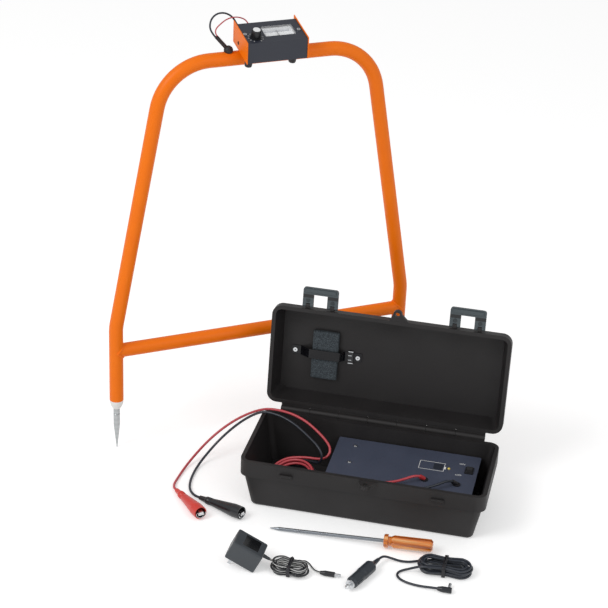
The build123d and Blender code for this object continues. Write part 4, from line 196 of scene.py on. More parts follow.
# %% Sky and lamps
SKY_STRENGTH = 0.62
LAMPS = [("key_lamp", (-2.2, -2.4, 3.2), (-0.1, 0.0, 0.2), 1.8, 62.0),
         ("fill_lamp", (2.6, -1.6, 2.2), (0.0, 0.0, 0.2), 2.2, 18.0)]
sky = bpy.data.worlds.new("studio")
scene.world = sky
sky.use_nodes = True
tree = sky.node_tree
tree.nodes.clear()
path = add_node(tree, "ShaderNodeLightPath")
strength = add_node(tree, "ShaderNodeMapRange", {0: path.outputs["Is Camera Ray"], 3: SKY_STRENGTH, 4: 1.0})
air = add_node(tree, "ShaderNodeBackground", {"Color": WHITE, "Strength": strength.outputs[0]})
add_node(tree, "ShaderNodeOutputWorld", {"Surface": air.outputs[0]})
for name, spot, aim, size, watts in LAMPS:
    data = bpy.data.lights.new(name, "AREA")
    data.size = size
    data.energy = watts
    lamp = bpy.data.objects.new(name, data)
    lamp.location = spot
    lamp.rotation_euler = (Vector(aim) - Vector(spot)).to_track_quat("-Z", "Y").to_euler()
    scene.collection.objects.link(lamp)
scene.view_settings.view_transform = "Standard"
print("sky and", len(LAMPS), "lamps")

# %% [markdown]
# ## Finishes that wander
#
# Moulded plastic, paint and rubber are never one flat colour: colour, gloss and relief change a little over
# the grain of the mould or the flow of the paint. Each finish could have a tree of its own, but they only
# differ in numbers, so one function makes them from two colours, a grain in millimetres, the depth of that
# grain and a range of roughness. Most real grain is a few tenths of a millimetre and wouldn't show, so it is
# drawn at about one to three millimetres.


# %% Grained finish
PATCH_GRAINS, RELIEF = 30, 0.6
# Noise hardly leaves its middle range, so ramps start and end there.
NOISE_LOW, NOISE_HIGH = 0.3, 0.7
BLEND_LIFT, BLEND_LOW, BLEND_HIGH = 0.5, 0.45, 1.05


def grained(name, dark, light, grain, depth, rough, values=None):
    """A finish that wanders between two colours and two roughnesses over a grain in mm, with its relief."""
    material, tree, shader = new_finish(name, values or {})
    spot = add_node(tree, "ShaderNodeTexCoord").outputs["Object"]
    broad = add_node(tree, "ShaderNodeTexNoise", {"Vector": spot, "Scale": 1000 / (grain * PATCH_GRAINS),
                                                  "Detail": 4.0})
    fine = add_node(tree, "ShaderNodeTexNoise", {"Vector": spot, "Scale": 1000 / grain, "Detail": 2.0})
    blend = add_node(tree, "ShaderNodeMath", {0: broad.outputs["Fac"], 1: fine.outputs["Fac"],
                                              2: BLEND_LIFT}, operation="MULTIPLY_ADD")
    share = add_node(tree, "ShaderNodeMapRange", {0: blend.outputs[0], 1: BLEND_LOW, 2: BLEND_HIGH})
    colour = add_node(tree, "ShaderNodeMix", {0: share.outputs[0], 6: linear(dark), 7: linear(light)},
                      data_type="RGBA")
    gloss = add_node(tree, "ShaderNodeMapRange", {0: broad.outputs["Fac"], 1: NOISE_LOW, 2: NOISE_HIGH,
                                                  3: rough[0], 4: rough[1]})
    relief = add_node(tree, "ShaderNodeBump", {"Height": fine.outputs["Fac"], "Distance": depth * MM,
                                               "Strength": RELIEF})
    feed(tree, shader, {"Base Color": colour.outputs[2], "Roughness": gloss.outputs[0],
                        "Normal": relief.outputs[0]})
    return material


# Typical values for moulded vinyl and nylon, and for bare metal.
PLASTIC, METAL = {"IOR": 1.53}, {"Metallic": 1.0}
# Soft vinyl of the leads: a smooth extruded skin with a soft gleam along the top.
red_vinyl = grained("red_soft_vinyl", "#ab323b", "#cd525b", 2.0, 0.05, (0.28, 0.4), PLASTIC)
black_vinyl = grained("black_soft_vinyl", "#1b2029", "#2b313c", 2.0, 0.05, (0.26, 0.4), PLASTIC)
print("vinyl finishes", red_vinyl.name, black_vinyl.name)

# %% [markdown]
# ## The cords
#
# A cord is a fixed length of something flexible, so each one is a single smooth spline along the route that
# the solid model uses, in the same millimetres. Its NURBS line passes near the route's corners without kinks.
# A coil or a hank is more points of the same spline: half turns that step in and out by a cord's width and
# climb where they turn back, drawn in at the waist where a tie holds them.


# %% Cord helpers
def winding_stations(inner, step, turns, layers, climb):
    """Radius and height of each half turn: in and out again by half a step, climbing where it reverses."""
    falling = [inner + step / 2 * k for k in range(2 * turns - 1, -1, -1)]
    stations = []
    for layer in range(layers):
        radii = falling if layer % 2 == 0 else falling[::-1]
        stations += [(radius, layer * climb) for radius in radii]
    return stations


def winding_points(stations, run, waist, steps):
    """Points of a flat winding in its own plane, pushed out so that the smooth line keeps each radius."""
    swell = 1 / math.cos(math.pi / steps / 2)
    narrowing = (1 + waist) / 2
    points = []
    for k, (radius, height) in enumerate(stations):
        side = 1 if k % 2 == 0 else -1
        if run > 0:
            for share, drawn in ((-0.5, 1.0), (-0.25, narrowing), (0.0, waist), (0.25, narrowing),
                                 (0.5, 1.0)):
                points.append((side * run * share, side * radius * drawn, height))
        if k + 1 == len(stations):
            break
        next_radius, next_height = stations[k + 1]
        reach = (radius + next_radius) / 2
        shift = (radius - next_radius) / 2
        for step in range(steps):
            turn = math.pi * (step + 0.5) / steps
            rise = height + (next_height - height) * (step + 0.5) / steps
            points.append((side * (run / 2 + swell * reach * math.sin(turn)),
                           side * (shift + swell * reach * math.cos(turn)), rise))
    return points


def cord_curve(route, diameter):
    """A round cord on one smooth spline, whose control points are a route in millimetres."""
    curve = bpy.data.curves.new("cord", "CURVE")
    curve.dimensions = "3D"
    spline = curve.splines.new("NURBS")
    spline.points.add(len(route) - 1)
    for spot, point in zip(spline.points, route):
        spot.co = (*(Vector(point) * MM), 1.0)
    spline.order_u = 3
    spline.use_endpoint_u = True
    curve.resolution_u = 6
    curve.bevel_depth = diameter / 2 * MM
    curve.bevel_resolution = 4
    curve.use_fill_caps = True
    return curve


# A lead's coil: step between turns, turns and layers, climb of a layer, and points to a half turn.
COIL_STEP, COIL_TURNS, COIL_LAYERS, COIL_CLIMB, COIL_POINTS = 6.2, 2, 2, 5.5, 9
print("half turns in a lead's coil", 2 * COIL_TURNS * COIL_LAYERS)

# %% [markdown]
# ### The two output leads
#
# Each lead leaves its sleeve on the panel, runs along the front of the case into a coil in the left
# compartment, climbs over the left rim and comes down to its clip on the ground. A bent wire could be drawn
# by hand, but the route's points follow what the cord lies on, and the coil's points follow a rule. The coil
# leans, so it has a frame of its own.

# %% Frame of the coil
COIL_CENTRE = Vector((-133.0, -23.5, 24.5))
COIL_LEAN = math.radians(20.0)
HIGH_SIDE = math.radians(53.0)
coil_up = Vector((-math.sin(COIL_LEAN) * math.cos(HIGH_SIDE), -math.sin(COIL_LEAN) * math.sin(HIGH_SIDE),
                  math.cos(COIL_LEAN)))
coil_along = (Vector((-1, 0, 0)) + coil_up * coil_up.x).normalized()
coil_across = coil_up.cross(coil_along)


def in_coil(point, lift):
    return COIL_CENTRE + coil_along * point[0] + coil_across * point[1] + coil_up * (point[2] + lift)


def lead_route(outlet, feed_points, feed_lead, inner, lift, tail_lead, tail_points, clip_points):
    """From the panel through the coil to the clip's tail."""
    stations = winding_stations(inner, COIL_STEP, COIL_TURNS, COIL_LAYERS, COIL_CLIMB)
    turns = [in_coil(point, lift) for point in winding_points(stations, 0, 1, COIL_POINTS)]
    start = in_coil((0, stations[0][0], stations[0][1]), lift)
    end = in_coil((0, -stations[-1][0], stations[-1][1]), lift)
    return ([outlet] + feed_points + [start - coil_along * feed_lead] + turns + [end - coil_along * tail_lead]
            + tail_points + clip_points)


print("coil about", list(COIL_CENTRE), "leans by", round(math.degrees(COIL_LEAN)), "degrees")

# %% Output leads
LEAD = 4.6
RED_FEED = [(85.0, -32.5, 82.5), (71.0, -43.5, 80.5), (52.0, -54.0, 76.6), (26.0, -61.5, 74.8),
            (-8.0, -66.0, 74.6), (-42.0, -67.0, 75.8), (-72.0, -64.5, 78.5), (-88.0, -63.5, 68.5),
            (-99.0, -65.0, 49.0)]
RED_TAIL = [(-101.0, 12.0, 57.0), (-86.0, 12.5, 58.5), (-77.0, 18.0, 67.0), (-78.5, 26.5, 77.0),
            (-90.5, 35.0, 86.5), (-108.0, 45.5, 95.0), (-130.0, 57.5, 103.3), (-158.0, 69.0, 107.6),
            (-190.0, 78.0, 106.5), (-216.0, 81.0, 102.0), (-249.0, 82.0, 83.5), (-282.0, 77.0, 58.5),
            (-310.0, 60.0, 33.0), (-331.0, 33.0, 10.0), (-339.5, -2.0, 2.9), (-341.5, -32.0, 2.5),
            (-342.5, -55.0, 3.2), (-338.8, -70.5, 4.3)]
BLACK_FEED = [(142.0, -32.5, 82.5), (128.0, -45.5, 80.6), (108.0, -58.5, 76.8), (82.0, -68.5, 75.0),
              (48.0, -74.0, 74.6), (14.0, -75.9, 74.5), (-20.0, -76.4, 74.8), (-49.0, -75.8, 76.4),
              (-74.0, -75.0, 78.5), (-92.0, -74.3, 68.0), (-100.0, -74.0, 46.0)]
BLACK_TAIL = [(-106.0, 14.5, 48.0), (-94.5, 8.0, 52.0), (-88.5, 4.0, 61.5), (-89.5, 6.5, 73.5),
              (-99.0, 15.0, 82.0), (-113.0, 26.0, 87.0), (-131.0, 39.0, 92.5), (-151.0, 52.0, 98.0),
              (-173.0, 62.0, 102.0), (-197.0, 69.0, 103.2), (-217.0, 72.0, 101.2), (-243.5, 73.0, 83.0),
              (-269.0, 69.0, 59.5), (-292.0, 57.0, 35.0), (-310.0, 37.0, 13.0), (-318.5, 10.0, 3.2),
              (-319.0, -20.0, 2.5), (-316.5, -47.0, 2.5), (-309.5, -69.0, 2.9), (-297.5, -84.3, 4.1)]
# Each lead ends a little way inside its clip's boot, past the boot's tail.
RED_CLIP_TAIL, BLACK_CLIP_TAIL = (-331.0, -79.0, 5.354), (-285.0, -90.0, 5.354)
RED_IN_BOOT, BLACK_IN_BOOT = (-325.6, -84.9, 6.05), (-277.7, -93.3, 6.05)
SLEEVE_LENGTH = 10.0
sleeve_axis = Vector((-0.75, -0.35, 0.56)).normalized()
red_outlet = Vector((100.0, -23.0, 72.8)) + sleeve_axis * SLEEVE_LENGTH
black_outlet = Vector((157.0, -23.0, 72.8)) + sleeve_axis * SLEEVE_LENGTH
red_route = lead_route(red_outlet, RED_FEED, feed_lead=20.0, inner=34.7, lift=11.3, tail_lead=20.0,
                       tail_points=RED_TAIL, clip_points=[RED_CLIP_TAIL, RED_IN_BOOT])
black_route = lead_route(black_outlet, BLACK_FEED, feed_lead=26.0, inner=38.7, lift=0.0, tail_lead=16.0,
                         tail_points=BLACK_TAIL, clip_points=[BLACK_CLIP_TAIL, BLACK_IN_BOOT])
red_wire = place_piece("red_lead_wire", cord_curve(red_route, LEAD), red_vinyl, "case",
                       ("red_lead", "red_lead_coil"))
black_wire = place_piece("black_lead_wire", cord_curve(black_route, LEAD), black_vinyl, "case",
                         ("black_lead", "black_lead_coil"))
print("two output leads,", len(red_route), "and", len(black_route), "points")

# %% [markdown]
# ### The clips' lips and collars
#
# Each clip is a flared vinyl boot over folded steel jaws. The lower jaw opens out into a toothed half-round
# lip in the mouth of the boot, and the boot has a shouldered collar where it takes hold of the lead. Both
# could be cut from tubes, but both are bands turned about the clip's own axis, so one function makes them
# from a profile and a range of angle.


# %% Turned bands
def turned_band(frame_of, profile, start, sweep, steps, notch=0.0, smooth=False):
    """A closed band: a profile of (along, radius) corners swept about an axis.

    Every other step of its far end is cut back by the notch, in mm.
    """
    shape = bmesh.new()
    whole = math.isclose(abs(sweep), 2 * math.pi)
    far_end = max(along for along, radius in profile)
    rings = []
    for k in range(steps if whole else steps + 1):
        angle = start + sweep * k / steps
        ring = []
        for along, radius in profile:
            cut = notch if k % 2 and along == far_end else 0.0
            corner = frame_of(along - cut, radius * math.cos(angle), radius * math.sin(angle))
            ring.append(shape.verts.new(corner))
        rings.append(ring)
    followers = rings[1:] + rings[:1] if whole else rings[1:]
    for one, other in zip(rings, followers):
        for j in range(len(profile)):
            shape.faces.new((one[j - 1], one[j], other[j], other[j - 1]))
    if not whole:
        shape.faces.new(rings[0])
        shape.faces.new(rings[-1][::-1])
    return mesh_from(shape, MM, smooth)


def clip_frame(tail, mouth):
    heading = math.atan2(mouth[1] - tail[1], mouth[0] - tail[0])
    along_axis = Vector((math.cos(heading) * math.cos(CLIP_RISE), math.sin(heading) * math.cos(CLIP_RISE),
                         math.sin(CLIP_RISE)))
    across_axis = Vector((math.sin(heading), -math.cos(heading), 0.0))
    up_axis = across_axis.cross(along_axis)
    return lambda along, across, up: Vector(tail) + along_axis * along + across_axis * across + up_axis * up


# A boot lies on its tail and on its shoulder, which is thicker, so the clip's axis rises towards the mouth.
SHOULDER_LIFT, SHOULDER_AT = 6.8, 78.0
CLIP_RISE = math.asin(SHOULDER_LIFT / SHOULDER_AT)
print("clips rise by", round(math.degrees(CLIP_RISE), 1), "degrees")

# %% Clip lips and collars
# Plated steel mirrors the room, so it shows as bright and dark streaks.
chrome = grained("nickel_chrome_plate", "#c4c6c8", "#e2e3e4", 0.9, 0.02, (0.1, 0.2), METAL)
# Dipped vinyl boots: thicker and glossier than the leads, with a waxy gleam.
red_boot = grained("red_boot_vinyl", "#c0281e", "#dd4438", 2.4, 0.06, (0.24, 0.36), PLASTIC)
black_boot = grained("black_boot_vinyl", "#14171a", "#23272c", 2.4, 0.06, (0.24, 0.36), PLASTIC)
LIP = [(85.0, 8.4), (96.6, 8.4), (96.6, 9.4), (85.0, 9.4)]
LIP_START, LIP_SWEEP, TOOTH = math.radians(172), math.radians(196), 1.1
COLLAR = [(13.6, 4.9), (14.6, 6.2), (16.6, 6.75), (28.4, 6.8), (28.4, 6.0)]
BAND_STEPS = 28
for colour, boot, tail, mouth in (("red", red_boot, RED_CLIP_TAIL, (-267.0, -149.0)),
                                  ("black", black_boot, BLACK_CLIP_TAIL, (-199.0, -129.0))):
    in_clip = clip_frame(tail, mouth)
    lip = turned_band(in_clip, LIP, LIP_START, LIP_SWEEP, BAND_STEPS, notch=TOOTH)
    collar = turned_band(in_clip, COLLAR, 0.0, 2 * math.pi, BAND_STEPS, smooth=True)
    place_piece(colour + "_clip_lip", lip, chrome, "case")
    place_piece(colour + "_boot_collar", collar, boot, "case")
print("lips and collars of two clips")

# %% [markdown]
# ### The receiver's leads
#
# Two short leads come out of the back of the receiver box, loop up and enter one sleeve on the tube. Their
# points are given along the A-frame's own bar, up and to the front, because the A-frame stands turned.

# %% Receiver leads
FACE_TURN = math.radians(35.2)
FACE_AT = Vector((-251.5, 200.8, 0.0))
face_along = Vector((math.cos(FACE_TURN), math.sin(FACE_TURN), 0.0))
face_front = Vector((math.sin(FACE_TURN), -math.cos(FACE_TURN), 0.0))


def on_face(along, height, front):
    """A point of the A-frame, along its bar, up, and towards its front."""
    return FACE_AT + face_along * along + Vector((0, 0, height)) + face_front * front


SOCKET_AT, SOCKET_HEIGHT, SOCKET_REACH = -77.0, 748.5, 34.0
socket_out = (face_along * -0.655 + Vector((0, 0, 0.755))).normalized()
socket_side = (face_along * 0.755 + Vector((0, 0, 0.655))).normalized()
socket_end = on_face(SOCKET_AT, SOCKET_HEIGHT, 0.0) + socket_out * SOCKET_REACH
EXIT_HEIGHT, EXIT_BACK = 783.66, -13.0
BLACK_SIGNAL = [(-54.5, 785.0, -21.5), (-58.5, 794.0, -25.5), (-67.0, 802.5, -23.5), (-80.0, 809.0, -19.0),
                (-95.0, 810.0, -13.5), (-106.5, 803.0, -8.0), (-110.5, 791.0, -3.5), (-106.5, 780.5, -0.8)]
RED_SIGNAL = [(-34.3, 785.0, -20.0), (-38.5, 791.5, -24.0), (-49.0, 796.5, -23.5), (-62.0, 799.0, -20.5),
              (-75.5, 798.0, -15.5), (-87.0, 794.0, -9.5), (-97.5, 788.5, -4.5), (-101.5, 781.5, -1.2)]
for colour, vinyl, exit_along, side, inner, thick, long in (
        ("black", black_vinyl, -54.0, -1.5, BLACK_SIGNAL, 3.2, 0.109),
        ("red", red_vinyl, -34.0, 1.6, RED_SIGNAL, 2.2, 0.096)):
    leaves = on_face(exit_along, EXIT_HEIGHT, EXIT_BACK)
    route = [leaves] + [on_face(*point) for point in inner] + [socket_end + socket_side * side]
    wire = place_piece(f"{colour}_receiver_wire", cord_curve(route, thick), vinyl, "a_frame",
                       ("receiver_leads",))
print("two receiver leads")

# %% [markdown]
# ### The adapters' cords
#
# Each adapter has its cord folded into a hank with a wire tie round its waist, as it comes out of the box.
# Neat loops would look like a spring, so the layers differ in length and fan out from the tie. The mains
# cord has a pale tracer stripe along each flank, drawn from the curve's own lengthwise texture.

# %% Vinyl with a tracer
# Vinyl with a tracer: a half-gloss black skin, and a pale line that winds with the cord.
TRACER_CORE, TRACER_EDGE = 0.13, 0.16
tracer, tree, shader = new_finish("black_vinyl_with_tracer", {"IOR": 1.53, "Roughness": 0.34})
strip = add_node(tree, "ShaderNodeSeparateXYZ", {0: add_node(tree, "ShaderNodeTexCoord").outputs["UV"]})
twice = add_node(tree, "ShaderNodeMath", {0: strip.outputs["Y"], 1: 2.0}, operation="MULTIPLY")
twice = add_node(tree, "ShaderNodeMath", {0: twice.outputs[0]}, operation="FRACT")
off_line = add_node(tree, "ShaderNodeMath", {0: twice.outputs[0], 1: 0.5}, operation="SUBTRACT")
off_line = add_node(tree, "ShaderNodeMath", {0: off_line.outputs[0]}, operation="ABSOLUTE")
is_line = add_node(tree, "ShaderNodeMapRange", {0: off_line.outputs[0], 1: TRACER_CORE, 2: TRACER_EDGE,
                                                3: 1.0, 4: 0.0})
colour = add_node(tree, "ShaderNodeMix", {0: is_line.outputs[0], 6: linear("#1a1c21"), 7: linear("#cfd0ce")},
                  data_type="RGBA")
feed(tree, shader, {"Base Color": colour.outputs[2]})
print("finish", tracer.name)

# %% Hank helper
HANK_TURNS, HANK_LAYERS, HANK_WAIST, HANK_POINTS = 2, 4, 0.8, 7
CORD_GAP, TIE_UNDER, GROUND_GAP = 0.6, 1.2, 0.3


def hank_points(centre, inner, run, cord, lose_last, fan, stretch):
    """Points of a tied hank on the ground: layers of long turns that differ and fan out from the tie."""
    climb = cord + CORD_GAP
    lift = TIE_UNDER + GROUND_GAP + cord / 2
    stations = winding_stations(inner, climb / HANK_WAIST, HANK_TURNS, HANK_LAYERS, climb)
    kept = stations[:-1] if lose_last else stations
    points = []
    for x, y, height in winding_points(kept, run, HANK_WAIST, HANK_POINTS):
        layer = min(int(height / climb), HANK_LAYERS - 2)
        share = height / climb - layer
        turn = math.radians(fan[layer] + (fan[layer + 1] - fan[layer]) * share)
        x *= stretch[layer] + (stretch[layer + 1] - stretch[layer]) * share
        points.append(Vector((centre[0] + x * math.cos(turn) - y * math.sin(turn),
                              centre[1] + x * math.sin(turn) + y * math.cos(turn), lift + height)))
    return points


print("half turns in a full hank", 2 * HANK_TURNS * HANK_LAYERS)

# %% Adapter cords
MAINS_CORD, MAINS_HANK = 3.6, (-83.0, -256.0)
RELIEF_END = (-120.982, -243.6, 9.871)
MAINS_ENTRY = [(-118.262, -243.6, 8.604), (-113.0, -243.0, 8.3), (-108.3, -241.2, 5.5), (-102.4, -239.0, 3.7)]
MAINS_EXIT = [(-61.0, -240.8, 15.9), (-53.5, -242.5, 13.2), (-47.5, -246.5, 8.4), (-41.0, -249.6, 5.0)]
BARREL_TAIL = (-33.0, -250.0, 4.6)
mains_hank = hank_points(MAINS_HANK, inner=10.0, run=27.0, cord=MAINS_CORD, lose_last=True,
                         fan=(2, -7, 6, -10), stretch=(1.0, 1.06, 0.94, 1.1))
mains_route = [RELIEF_END] + MAINS_ENTRY + mains_hank + MAINS_EXIT + [BARREL_TAIL]
mains_wire = place_piece("mains_adapter_wire", cord_curve(mains_route, MAINS_CORD), tracer, "mains_adapter",
                         ("adapter_cord", "adapter_hank"))
CAR_CORD, CAR_HANK = 4.2, (166.5, -184.0)
CAR_TAIL = (55.394, -195.012, 11.0)
CAR_ENTRY = [(58.7, -186.4, 10.9), (64.8, -179.6, 8.2), (75.5, -177.2, 4.6), (89.0, -178.2, 2.6),
             (104.0, -176.8, 2.4), (119.5, -169.5, 2.9), (131.5, -164.1, 3.6)]
CAR_EXIT = [(131.0, -204.0, 17.6), (120.0, -202.8, 12.6), (109.5, -201.0, 6.4), (99.5, -202.5, 2.8),
            (92.5, -209.0, 2.4), (91.0, -219.0, 2.4), (97.0, -228.0, 2.4), (108.5, -234.5, 2.4),
            (123.0, -238.0, 2.4), (138.0, -239.8, 3.0), (151.5, -240.8, 4.6)]
ELBOW_TAIL = (163.0, -241.0, 5.0)
car_hank = hank_points(CAR_HANK, inner=11.0, run=50.0, cord=CAR_CORD, lose_last=False,
                       fan=(0, 4, -4, 1), stretch=(1.0, 0.95, 1.04, 0.98))
car_route = [CAR_TAIL] + CAR_ENTRY + car_hank + CAR_EXIT + [ELBOW_TAIL]
car_wire = place_piece("vehicle_adapter_wire", cord_curve(car_route, CAR_CORD), black_vinyl,
                       "vehicle_adapter", ("car_cord", "car_hank"))
print("mains cord", len(mains_route), "points, vehicle cord", len(car_route), "points")

# %% [markdown]
# ### The ties
#
# A wire tie is a flat paper or vinyl strip wrapped once round the hank and twisted shut. A ring would look
# like a clamp, so the loop is one closed band with rounded corners, and the twist is two small tails that
# wind round each other on top.

# %% Tie helper
TIE_STRIP, TIE_CORNER, TIE_CROWN, TIE_EDGE, TIE_THICK = 6.0, 2.4, 0.35, 0.6, 0.8
CORNER_POINTS, TAIL_RINGS, TAIL_SIDES, TAIL_START, TAIL_STEP = 7, 15, 6, -6.0, 1.5
TWIST_STEP, TWIST_WIDE, TWIST_TALL, TWIST_LIFT = 0.55, 1.3, 0.9, 1.2
TAIL_WIDE, TAIL_TALL = 0.9, 0.5


def tie_mesh(centre, half_wide, tall):
    """A rounded band round a hank's waist with two twisted tails on top."""
    shape = bmesh.new()
    outline = []
    for turn_x, turn_z, start in ((1, 1, 0), (-1, 1, 90), (-1, -1, 180), (1, -1, 270)):
        for k in range(CORNER_POINTS):
            angle = math.radians(start + 90 / (CORNER_POINTS - 1) * k)
            outline.append((turn_x * (half_wide - TIE_CORNER) + TIE_CORNER * math.cos(angle),
                            turn_z * (tall / 2 - TIE_CORNER) + TIE_CORNER * math.sin(angle)))
    half = TIE_STRIP / 2
    rings = []
    for across, grow in ((-half, 0.0), (-half + TIE_EDGE, TIE_CROWN), (half - TIE_EDGE, TIE_CROWN),
                         (half, 0.0), (half, -TIE_THICK), (-half, -TIE_THICK)):
        ring = []
        for y, z in outline:
            far = math.hypot(y, z)
            ring.append(shape.verts.new((centre[0] + across, centre[1] + y * (1 + grow / far),
                                         centre[2] + z * (1 + grow / far))))
        rings.append(ring)
    for one, other in zip(rings, rings[1:] + rings[:1]):
        for k in range(len(one)):
            shape.faces.new((one[k], one[k - 1], other[k - 1], other[k]))
    for phase in (0.0, math.pi):
        earlier = None
        for k in range(TAIL_RINGS):
            turn = phase + TWIST_STEP * k
            middle = Vector((centre[0] + TWIST_WIDE * math.cos(turn), centre[1] + TAIL_STEP * k + TAIL_START,
                             centre[2] + tall / 2 + TWIST_LIFT + TWIST_TALL * math.sin(turn)))
            ring = []
            for j in range(TAIL_SIDES):
                angle = 2 * math.pi / TAIL_SIDES * j
                spot = middle + Vector((TAIL_WIDE * math.cos(angle), 0, TAIL_TALL * math.sin(angle)))
                ring.append(shape.verts.new(spot))
            if earlier:
                for j in range(TAIL_SIDES):
                    shape.faces.new((ring[j], ring[j - 1], earlier[j - 1], earlier[j]))
            else:
                shape.faces.new(ring)
            earlier = ring
        shape.faces.new(earlier[::-1])
    return mesh_from(shape, MM, smooth=True)


print("tails of a tie make", round(TWIST_STEP * (TAIL_RINGS - 1) / (2 * math.pi), 1), "turns")

# %% Wire ties
# Thin vinyl over wire: plain black with a soft sheen on its edges.
tie_vinyl = grained("black_tie_vinyl", "#131316", "#22222a", 1.5, 0.04, (0.3, 0.45), {"IOR": 1.5})
mains_tie = place_piece("mains_hank_tie", tie_mesh((*MAINS_HANK, 9.6), half_wide=17.3, tall=18.4), tie_vinyl,
                        "mains_adapter")
car_tie = place_piece("vehicle_hank_tie", tie_mesh((*CAR_HANK, 10.8), half_wide=19.6, tall=20.8), tie_vinyl,
                      "vehicle_adapter")
print("two wire ties")

# %% [markdown]
# ## The A-frame
#
# The frame is bent steel tube under orange powder coat. White nylon insulators keep the turned steel spikes
# apart from the tube. Their shapes are the solids' own, so they only need finishes: the coat and the nylon
# are grained, and the steel gets rings from the lathe, which a grain can't give.

# %% A-frame finishes
# Powder coat on steel: an even orange skin, slightly pebbled, with a soft gleam along the tube.
orange_coat = grained("orange_powder_coat", "#ee6c00", "#f97d02", 1.6, 0.06, (0.38, 0.5),
                      {"IOR": 1.5, "Specular IOR Level": 0.25})
dress(orange_coat, "frame_tube", "cross_tube", "receiver_chassis")
# Turned nylon: milky white with a low, waxy sheen.
dress(grained("turned_white_nylon", "#e4e3df", "#f3f2ee", 1.2, 0.03, (0.38, 0.5), PLASTIC), "leg_insulators")
# Turned steel: bright, with faint rings. Real ones are too fine to show, so they're drawn 10 mm apart.
# The wave texture repeats every pi / 10 of its scaled coordinate.
LATHE_RING = 10.053
turned_steel, tree, shader = new_finish("turned_bright_steel", METAL)
spot = add_node(tree, "ShaderNodeTexCoord").outputs["Object"]
rings = add_node(tree, "ShaderNodeTexWave", {"Vector": spot, "Scale": math.pi / 10 * 1000 / LATHE_RING,
                                             "Distortion": 0.4}, wave_type="BANDS", bands_direction="Z")
gloss = add_node(tree, "ShaderNodeMapRange", {0: rings.outputs["Fac"], 3: 0.3, 4: 0.33})
steel_colour = add_node(tree, "ShaderNodeMix", {0: rings.outputs["Fac"], 6: linear("#a9adae"),
                                                7: linear("#b3b7b8")}, data_type="RGBA")
feed(tree, shader, {"Roughness": gloss.outputs[0], "Base Color": steel_colour.outputs[2]})
dress(turned_steel, "ground_spikes")

# %% [markdown]
# ## The receiver
#
# The cover is folded sheet under dark slate paint. The meter has a silver case with a printed dial behind a
# clear window. The solids have their shapes already, so this step only dresses them, those inside too: a
# part that is taken apart should look right.

# %% Receiver finishes
# Baked enamel on sheet steel: blue slate, half matt, with a faint orange peel.
dress(grained("slate_blue_paint", "#3d4353", "#474d5f", 1.4, 0.04, (0.42, 0.55), {"IOR": 1.5}),
      "transmitter_panel")
dress(grained("dark_slate_paint", "#21242f", "#2a2e3a", 1.4, 0.04, (0.36, 0.5), {"IOR": 1.5}),
      "receiver_cover")
# Moulded rubber: near black and dull, with a coarse skin.
dress(grained("moulded_black_rubber", "#161619", "#232328", 1.2, 0.08, (0.5, 0.65), {"IOR": 1.52}),
      "receiver_feet", "lead_grommets")
# Zinc plate: pale satin metal, a little cloudy.
dress(grained("zinc_plated_steel", "#b4b6b8", "#d0d1d2", 0.8, 0.02, (0.26, 0.38), METAL),
      "receiver_screws", "tube_saddles", "gain_control", "panel_screws")
# Blackened steel: a dark metal that gleams only at its edges.
blacked_steel = grained("blackened_steel", "#1b1b1d", "#29292c", 1.0, 0.02, (0.35, 0.5), METAL)
dress(blacked_steel, "hinge_pin", "lid_pins")
# Silvered plastic: pale and smooth, brighter than the dial print on it.
dress(grained("silver_meter_plastic", "#e6e8ea", "#f4f5f6", 1.0, 0.02, (0.3, 0.4), {"IOR": 1.5}),
      "meter_case")
# Dipped paint on a thin needle: a plain dark line.
dress(grained("dark_needle_paint", "#1b1b1d", "#2a2a2c", 1.0, 0.01, (0.4, 0.5)), "meter_needle")
# Clear acrylic: only its reflections show.
clear_plastic = new_finish("clear_acrylic", {"Base Color": WHITE, "Roughness": 0.04, "IOR": 1.49,
                                             "Alpha": 0.12})[0]
dress(clear_plastic, "meter_window")
# Laminate under green lacquer: a smooth skin with cloudy depth.
dress(grained("coated_board_laminate", "#1d4b2c", "#2a6038", 3.0, 0.03, (0.3, 0.5)),
      "receiver_board", "transmitter_board")
# Shrink sleeve: a tight dark film with a broad gleam.
dress(grained("battery_shrink_sleeve", "#20242c", "#2d323c", 3.0, 0.03, (0.25, 0.4)),
      "receiver_battery", "storage_battery")

# %% [markdown]
# ### The gain knob
#
# The knob is one moulding with a bright cap set into its top. The cap could be a piece of its own, but the
# solid already has its shape, so the finish changes at a level along the knob's axis. That axis stands on
# the receiver's sloping top, whose frame is worked out here.

# %% Gain knob finish
TOP_SLOPE, TOP_HEIGHT = math.radians(15.5), 786.887
top_back = face_front * -math.cos(TOP_SLOPE) + Vector((0, 0, math.sin(TOP_SLOPE)))
top_up = face_along.cross(top_back)
TOP_AT = on_face(0, TOP_HEIGHT, 0)


def on_top(along, back_by, up):
    """A point on the receiver's sloping top: along the bar, towards the back, and off the surface."""
    return TOP_AT + face_along * along + top_back * back_by + top_up * up


KNOB_X, KNOB_S, CAP_LEVEL = -40.5, -33.0, 15.2
